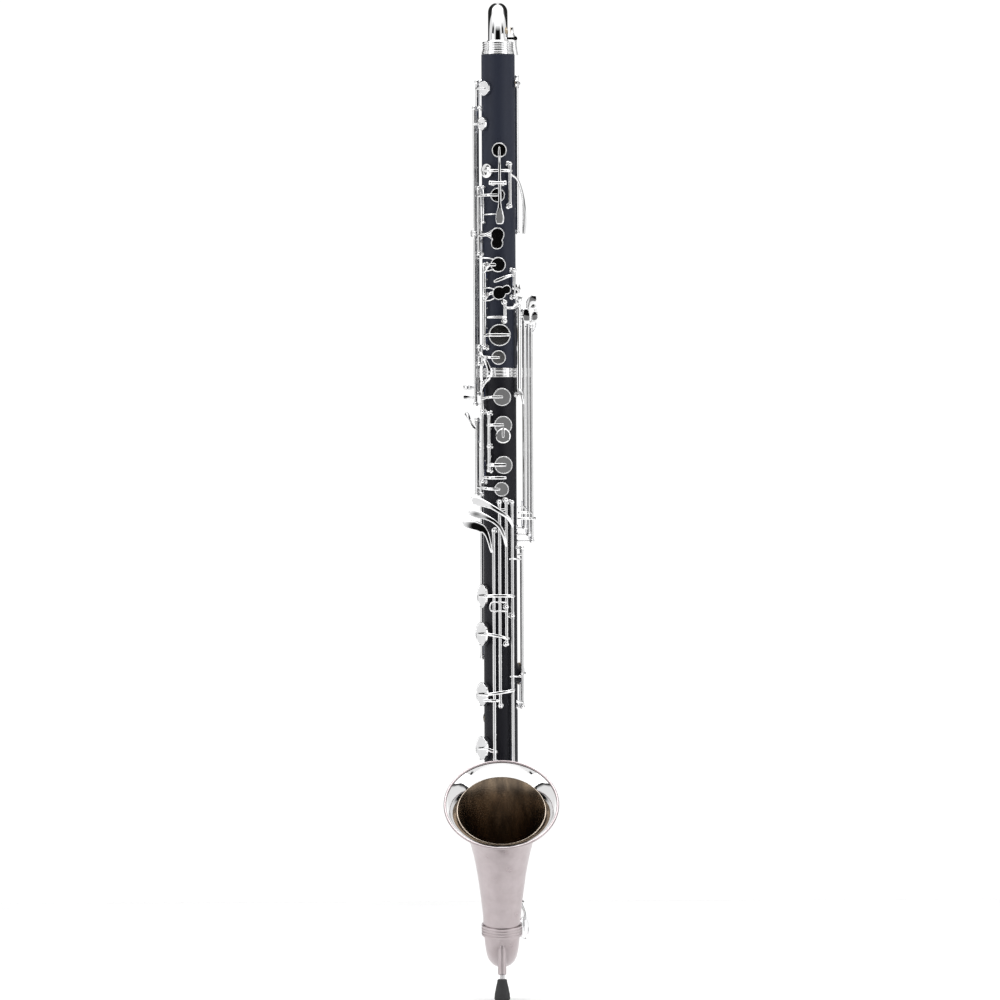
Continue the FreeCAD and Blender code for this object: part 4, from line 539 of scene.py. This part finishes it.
# ---------------------------------------------------------------- beads round the finger plates
PLATE_TOP = 3.2    # height of a plate's rim above its pad's face, in mm
PLATES = {
    # key: ([(across, up, radius) of each lobe], middle to measure the outline from)
    "left_index_key": ([(0, 0, 8.3), (-0.4, -10.2, 7.3)], (-0.2, -4.5)),
    "left_ring_key": ([(0, 0, 8.1), (8.8, 4.0, 5.5)], (4.2, 1.9)),
}


def outline(lobes, middle, inset, steps=96):
    """Outline of joined discs, smoothed at the waist, as offsets in mm."""
    reach = []
    for k in range(steps):
        a = math.tau * k / steps
        c, s = math.cos(a), math.sin(a)
        far = 0.0
        for x, y, r in lobes:
            dx, dy = middle[0] - x, middle[1] - y
            along = dx * c + dy * s
            inside = along * along - (dx * dx + dy * dy - (r - inset) ** 2)
            if inside > 0:
                far = max(far, -along + math.sqrt(inside))
        reach.append(far)
    for _ in range(3):
        reach = [(reach[k - 1] + 2 * reach[k] + reach[(k + 1) % steps]) / 4 for k in range(steps)]
    return [(middle[0] + reach[k] * math.cos(math.tau * k / steps),
             middle[1] + reach[k] * math.sin(math.tau * k / steps)) for k in range(steps)]


def ring_through(name, points, normals, radius, material, sides=10):
    """A closed round bead through points, with `normals` the way it stands up."""
    verts, faces, n = [], [], len(points)
    for i, (p, up) in enumerate(zip(points, normals)):
        ahead = (points[(i + 1) % n] - points[i - 1]).normalized()
        across = ahead.cross(up).normalized()
        for k in range(sides):
            a = math.tau * k / sides
            verts.append(p + across * (radius * math.cos(a)) + up * (radius * math.sin(a)))
    for i in range(n):
        m = (i + 1) % n
        for k in range(sides):
            j = (k + 1) % sides
            faces.append((i * sides + k, m * sides + k, m * sides + j, i * sides + j))
    return mesh_object(name, verts, faces, material)


def add_beads():
    """The rounded bead that runs round the sunk top of each finger plate."""
    for node, (lobes, middle) in PLATES.items():
        theta, z, _ = OPEN_KEYS[node]
        rim = at(theta, SEAT_R + PAD_GAP + PLATE_TOP, z)
        place = rest_turn(node) @ facing(rim, radial(theta), Vector((0, 0, 1)))
        place = place @ Matrix.Rotation(-math.pi / 2, 4, "Z")
        points = [place @ Vector((x * MM, y * MM, 0.0)) for x, y in outline(lobes, middle, 0.45)]
        up = (place.to_3x3() @ Vector((0, 0, 1))).normalized()
        bead = ring_through(node.replace("_key", "") + "_bead", points, [up] * len(points), 0.52 * MM, NICKEL)
        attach(bead, body_named(node))


add_beads()


def add_lip_bead():
    """The thin ring inside the bell where the bright lip ends, on the ellipse that the skin makes there."""
    middle, axis = mouth_plane()
    data = frame["nodes"]["bell_flare"].data
    points = []
    for faces in inner_sheets("bell_flare", flare_line()):
        for face in faces:
            corners = [data.vertices[v].co for v in face.vertices]
            for a, b in zip(corners, corners[1:] + corners[:1]):
                da, db = (middle - a).dot(axis) - LIP_DEPTH, (middle - b).dot(axis) - LIP_DEPTH
                if da < 0 <= db:
                    points.append(a + (b - a) * (da / (da - db)))
    side = Vector((1, 0, 0))
    up = axis.cross(side)
    core = Vector((0, 0, 0))
    for p in points:
        core += p / len(points)
    core.x = 0.0
    for _ in range(20):    # brings the middle halfway between the ellipse's top and bottom
        spans = [(p - core).dot(up) for p in points]
        core += up * ((max(spans) + min(spans)) / 2)
    half_x = max(abs((p - core).dot(side)) for p in points)
    half_u = max(abs((p - core).dot(up)) for p in points)
    ring, steps, sink = [], 120, 0.25 * MM
    for k in range(steps):
        a = math.tau * k / steps
        ring.append(core + side * ((half_x - sink) * math.cos(a)) + up * ((half_u - sink) * math.sin(a)))
    bead = ring_through("bell_lip_bead", ring, [axis] * steps, 0.4 * MM, LIP_BROWN)
    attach(bead, frame["nodes"]["bell_flare"]["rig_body"])


add_lip_bead()


# ---------------------------------------------------------------- needle springs
SPRING_DROP = 3.3    # mm from a hinge line in to its spring
HOOK_TURN = 3.6    # degrees between a spring and its hook, so that the hook passes it when the key turns
HOOK_BACK = 1.6    # mm from a spring's tip back to its hook
SPRING_RUNS = {
    # key: (hinge angle, hinge radius, height of its post, length towards the key)
    "throat_g_sharp_key": (33.3, HINGE_R, 985.5, -25), "upper_vent_key": (-72, HINGE_R, 957.2, -22),
    "left_index_key": (-72, HINGE_R, 879.5, 24), "left_middle_key": (-44, HINGE_R, 866.5, -19),
    "left_ring_key": (-44, HINGE_R, 830.4, -17), "left_resonance_key": (-44, HINGE_R, 768.4, 25),
    "left_sliver_key": (46, HINGE_R, 859.9, -20), "left_link_lever": (16.3, HINGE_R, 822.0, -14),
    "bridge_key_upper": (-72, HINGE_R, 770.0, -13), "side_trill_key_1": (-96.5, 25.1, 1083, -30),
    "side_trill_key_2": (-86, 28.3, 1052, -30), "register_key": (118, HINGE_R, 905, 30),
    "thumb_key": (-140, HINGE_R, 872, 24), "right_index_key": (-54.8, HINGE_R, 728, -22),
    "right_link_bar": (-54.8, HINGE_R, 610.4, 26), "right_middle_key": (-30.8, HINGE_R, 691, -20),
    "right_ring_key": (-30.8, HINGE_R, 623.6, 18), "side_vent_key": (-83, 27.0, 684, -28),
    "right_little_key_3": (-18, HINGE_R, 279, 34), "low_e_flat_link": (-1.4, HINGE_R, 346, 30),
    "right_little_key_2": (17, HINGE_R, 588.5, -34), "right_little_key_1": (35, HINGE_R, 586, -32),
    "low_e_flat_key": (35, HINGE_R, 276, 32), "left_little_key_2": (84, 29.0, 556, 32),
    "left_little_key_3": (92, 33.8, 548, 32), "left_little_key_4": (100, 38.0, 540, 32),
    "low_d_key": (76, 26.0, 344, 30), "low_c_sharp_key": (-118, HINGE_R, 402, 32),
    "low_c_key": (158, HINGE_R, 300, 32),
}


def add_springs():
    """A blued steel needle from each post, lying under the hinge tube, and the small hook that it presses."""
    for node, (theta, r, z_post, length) in SPRING_RUNS.items():
        under = r - SPRING_DROP
        base = at(theta, under, z_post)
        middle = at(theta, under, z_post + length * 0.55)
        tip = at(theta, under + 0.25, z_post + length)
        name = node.replace("_key", "")
        wire = tube(name + "_spring", [base, middle, tip], [0.38 * MM, 0.36 * MM, 0.2 * MM], SPRING, 8)
        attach(wire, ROOT)
        turned, height = theta + HOOK_TURN, z_post + length - math.copysign(HOOK_BACK, length)
        ends = [at(turned, r - 1.8, height), at(turned, under - 0.3, height)]
        hook = tube(name + "_spring_hook", ends, 0.62 * MM, NICKEL, 12)
        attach(hook, body_named(node))


add_springs()


# ---------------------------------------------------------------- small arms, screws and guards
ARMS = {
    # piece: (key it rides on, points as (angle, radius, height), half thickness)
    "left_middle_long_arm": (
        "left_middle_key",
        [(-12, 25.1, 872.4), (-22, 26.6, 873.8), (-36, 28.2, 874.2), (-52, 29.0, 874.2), (-66, 29.2, 874.2)],
        0.9,
    ),
    "left_middle_lower_arm": (
        "left_middle_key", [(-12, 25.0, 860.6), (-24, 26.2, 859.2), (-42, 26.7, 859.0)], 0.7,
    ),
    "left_ring_upper_arm": (
        "left_ring_key", [(-11, 25.2, 837.4), (-24, 26.4, 838.8), (-42, 26.7, 839.0)], 0.8,
    ),
    "left_ring_lower_arm": (
        "left_ring_key", [(-11, 25.2, 826.4), (-22, 26.2, 824.0), (-42, 26.7, 823.8)], 0.8,
    ),
}
SCREWS = {
    # piece: (key it rides on, angle, radius of its head's underside, height)
    "left_middle_screw": ("left_middle_key", -29, 26.6, 866.2),
    "left_ring_screw": ("left_ring_key", -29, 26.4, 830.9),
}
GUARDS = {
    # piece: (height, angle of its free end, angle of its pillar)
    "rod_guard_upper": (518.8, 22, 57),
    "rod_guard_lower": (380.0, 22, 57),
}
THIN = 0.95 * MM      # half the thickness of the short rod, its arm and the straps
SCREW_R = 2.5 * MM    # radius of a screw's head


def add_arms():
    """The second arms of the two left-hand finger plates."""
    for name, (key, route, half) in ARMS.items():
        turn = rest_turn(key)
        points = [turn @ at(*p) for p in route]
        arm = tube(name, points, half * MM, NICKEL, 12)
        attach(arm, body_named(key))


def screw_head(name, place, radius, body):
    """A domed screw head, and a black bar across its top as painted shade standing in for its slot."""
    depth = 1.3 * MM
    profile = [(0, 0), (radius, 0), (radius, 0.5 * depth), (0.8 * radius, 0.85 * depth), (0, depth)]
    verts, faces = spin(profile, 32)
    head = mesh_object(name, verts, faces, STEEL)
    head.matrix_world = place
    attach(head, body)
    # The slot is not cut: a thin black box laid over the dome's top is painted shade where the groove would
    # be.
    half, wide, top = 0.72 * radius, 0.16 * radius, depth + 0.03 * MM
    around = ((-half, -wide), (half, -wide), (half, wide), (-half, wide))
    corners = [(x, y, z) for z in (0.8 * depth, top) for x, y in around]
    sides = [(k, (k + 1) % 4, (k + 1) % 4 + 4, k + 4) for k in range(4)]
    slot = mesh_object(name + "_slot", corners, [(3, 2, 1, 0), (4, 5, 6, 7)] + sides, EBONITE, smooth=False)
    slot.matrix_world = place
    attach(slot, body)


def add_screws():
    """Adjusting screws on the finger plates' arms."""
    for name, (key, theta, r, z) in SCREWS.items():
        place = rest_turn(key) @ facing(at(theta, r, z), radial(theta), Vector((0, 0.4, 1)))
        screw_head(name, place, SCREW_R, body_named(key))


def add_throat_rod():
    """A short fixed rod beside the throat keys, with two ball posts and a rest for the long touch."""
    theta, r, top, foot = -52.5, 22.6, 958.6, 916.6
    pieces = [tube("throat_rest_rod", [at(theta, r, foot), at(theta, r, top)], THIN, NICKEL, 16)]
    ball = [(0, -1.9), (1.1, -1.6), (1.9, -0.5), (1.9, 0.5), (1.1, 1.6), (0, 1.9)]
    for name, z in (("throat_rest_post_upper", top), ("throat_rest_post_lower", foot)):
        verts, faces = spin([(a * MM, b * MM) for a, b in ball], 24)
        post = mesh_object(name, verts, faces, NICKEL)
        post.matrix_world = Matrix.Translation(at(theta, r, z))
        pieces.append(post)
        stem = [at(theta, BODY_R - 0.15, z), at(theta, r - 1.2, z)]
        pieces.append(tube(name + "_stem", stem, 1.2 * MM, NICKEL, 16))
    route = [(theta, r + 0.4, 925.6), (-36, 23.6, 925.8), (-20, 24.2, 925.9), (-7, 24.3, 926.0)]
    pieces.append(tube("throat_rest_arm", [at(*p) for p in route], THIN, NICKEL, 12))
    for piece in pieces:
        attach(piece, ROOT)


def add_guards():
    """Small straps over the long rods of the lower joint, each on its own pillar."""
    for name, (z, start, end) in GUARDS.items():
        route = [(start, 28.3, z), ((start + end) / 2, 29.2, z), (end, 28.4, z)]
        strap = tube(name, [at(*p) for p in route], THIN, NICKEL, 12)
        pillar = tube(name + "_pillar", [at(end, BODY_R - 0.35, z), at(end, 28.8, z)], 1.25 * MM, NICKEL, 16)
        for piece in (strap, pillar):
            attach(piece, ROOT)


add_arms()
add_screws()
add_throat_rod()
add_guards()


# ---------------------------------------------------------------- camera, light and floor
def build_camera():
    """A long lens straight in front, at about half the height that it shows, rolled a hair like the photo."""
    distance, width, height, ahead = 12.0, 1.18, 0.5885, 0.026
    sensor, roll = 36.0, 0.00464
    data = bpy.data.cameras.new("camera")
    data.sensor_width = sensor
    data.lens = sensor * distance / width
    data.clip_end = 60.0
    camera = link(bpy.data.objects.new("camera", data))
    camera.location = (0.0, AXIS_Y - ahead - distance, start_box[0].z + height)
    camera.rotation_euler = (math.pi / 2, roll, 0.0)
    bpy.context.scene.camera = camera


# Brightness of the studio's walls by the share of the way round: 0 is the camera's end, 1 the far end.
FAR_WALL = [(0.965, 0.02), (0.985, 0.9)]
UPPER_WALLS = [
    (0.0, 0.003), (0.14, 0.005), (0.17, 0.55), (0.20, 0.85), (0.28, 0.90), (0.30, 0.02),
    (0.42, 0.02), (0.44, 0.85), (0.66, 0.90), (0.69, 0.02), *FAR_WALL,
]
LOWER_WALLS = [
    (0.0, 0.19), (0.12, 0.22), (0.14, 0.80), (0.24, 0.95), (0.26, 0.02), (0.44, 0.02), (0.46, 0.85),
    (0.53, 0.85), (0.55, 0.03), (0.62, 0.03), (0.64, 0.85), (0.88, 0.85), (0.90, 0.02), *FAR_WALL,
]
# Switches by the upward part of a ray's direction.
LOWER_END = [(0.5146, 1.0), (0.5154, 0.0)]    # 1 for the lower walls; this one reads the height plus a half
STEEP = [(0.55, 0.0), (0.85, 1.0)]            # 1 for rays that miss the walls, going up or down
CEILING = [(0.5, 0.0), (0.6, 1.0)]            # 1 for rays that go up to the ceiling
BELOW, OVERHEAD, PAPER = 0.8, 1.55, 1.05      # brightness under the object, of the ceiling and of the paper


def build_world():
    """White paper for the camera; for reflections, pale walls with dark stripes and a bright ceiling."""
    world = bpy.data.worlds.new("studio")
    bpy.context.scene.world = world
    world.use_nodes = True
    tree = world.node_tree
    tree.nodes.clear()

    def node(kind, **values):
        made = tree.nodes.new(kind)
        for key, value in values.items():
            setattr(made, key, value)
        return made

    def ramp(source, stops):
        made = node("ShaderNodeValToRGB")
        while len(made.color_ramp.elements) < len(stops):
            made.color_ramp.elements.new(0.5)
        for element, (place, value) in zip(made.color_ramp.elements, stops):
            element.position = place
            element.color = (value, value, value, 1)
        tree.links.new(source, made.inputs["Fac"])
        return made.outputs["Color"]

    def maths(operation, a, b=None):
        made = node("ShaderNodeMath", operation=operation)
        for socket, value in zip(made.inputs, (a, b)):
            if isinstance(value, (int, float)):
                socket.default_value = value
            elif value is not None:
                tree.links.new(value, socket)
        return made.outputs["Value"]

    def blend(factor, a, b):
        made = node("ShaderNodeMix", data_type="RGBA")
        tree.links.new(factor, made.inputs["Factor"])
        for socket, value in ((made.inputs["A"], a), (made.inputs["B"], b)):
            if isinstance(value, (int, float)):
                socket.default_value = (value, value, value, 1)
            else:
                tree.links.new(value, socket)
        return made.outputs["Result"]

    where = node("ShaderNodeTexCoord")
    split = node("ShaderNodeSeparateXYZ")
    tree.links.new(where.outputs["Generated"], split.inputs["Vector"])
    x, y, z = (split.outputs[k] for k in "XYZ")
    share = maths("DIVIDE", maths("ARCTAN2", maths("ABSOLUTE", x), maths("MULTIPLY", y, -1.0)), math.pi)
    walls = blend(ramp(maths("ADD", z, 0.5), LOWER_END), ramp(share, UPPER_WALLS), ramp(share, LOWER_WALLS))
    ends = blend(ramp(z, CEILING), BELOW, OVERHEAD)
    around = blend(ramp(maths("ABSOLUTE", z), STEEP), walls, ends)
    shade = node("ShaderNodeBackground")
    tree.links.new(around, shade.inputs["Color"])
    plain = node("ShaderNodeBackground")
    plain.inputs["Color"].default_value = (1, 1, 1, 1)
    plain.inputs["Strength"].default_value = PAPER
    seen = node("ShaderNodeLightPath")
    both = node("ShaderNodeMixShader")
    tree.links.new(seen.outputs["Is Camera Ray"], both.inputs["Fac"])
    tree.links.new(shade.outputs["Background"], both.inputs[1])
    tree.links.new(plain.outputs["Background"], both.inputs[2])
    out = node("ShaderNodeOutputWorld")
    tree.links.new(both.outputs["Shader"], out.inputs["Surface"])
    bpy.context.scene.view_settings.view_transform = "Standard"


BODY_MIDDLE = (0, 0.05, 0.6)
SOFTBOXES = {
    # name: (place, what it faces, its width and height, watts)
    "softbox_left": ((-2.4, -1.3, 0.9), BODY_MIDDLE, (1.0, 2.4), 14),
    "softbox_right": ((2.4, -1.3, 0.9), BODY_MIDDLE, (1.0, 2.4), 14),
    "softbox_top": ((0, 0.6, 3.0), (0, 0.6, 0), (2.4, 2.4), 52),
}


def softbox(name, place, target, size, power):
    """A rectangular light that shines on the object and isn't seen by the camera."""
    data = bpy.data.lights.new(name, "AREA")
    data.shape = "RECTANGLE"
    data.size, data.size_y = size
    data.energy = power
    light = link(bpy.data.objects.new(name, data))
    light.location = place
    light.rotation_euler = (Vector(target) - Vector(place)).to_track_quat("-Z", "Y").to_euler()
    light.visible_camera = False


def build_floor():
    """A pale square half a millimetre under the peg's foot."""
    half, z = 3, start_box[0].z - 0.5 * MM
    verts = [(-half, -half, z), (half, -half, z), (half, half, z), (-half, half, z)]
    pale = plastic("floor_pale", (0.86, 0.86, 0.86), (0.9, 0.9, 0.9), (0.7, 0.85), 3.0, 0.0)
    floor = mesh_object("floor", verts, [(0, 1, 2, 3)], pale, smooth=False)


build_camera()
build_world()
for box, settings in SOFTBOXES.items():
    softbox(box, *settings)
build_floor()
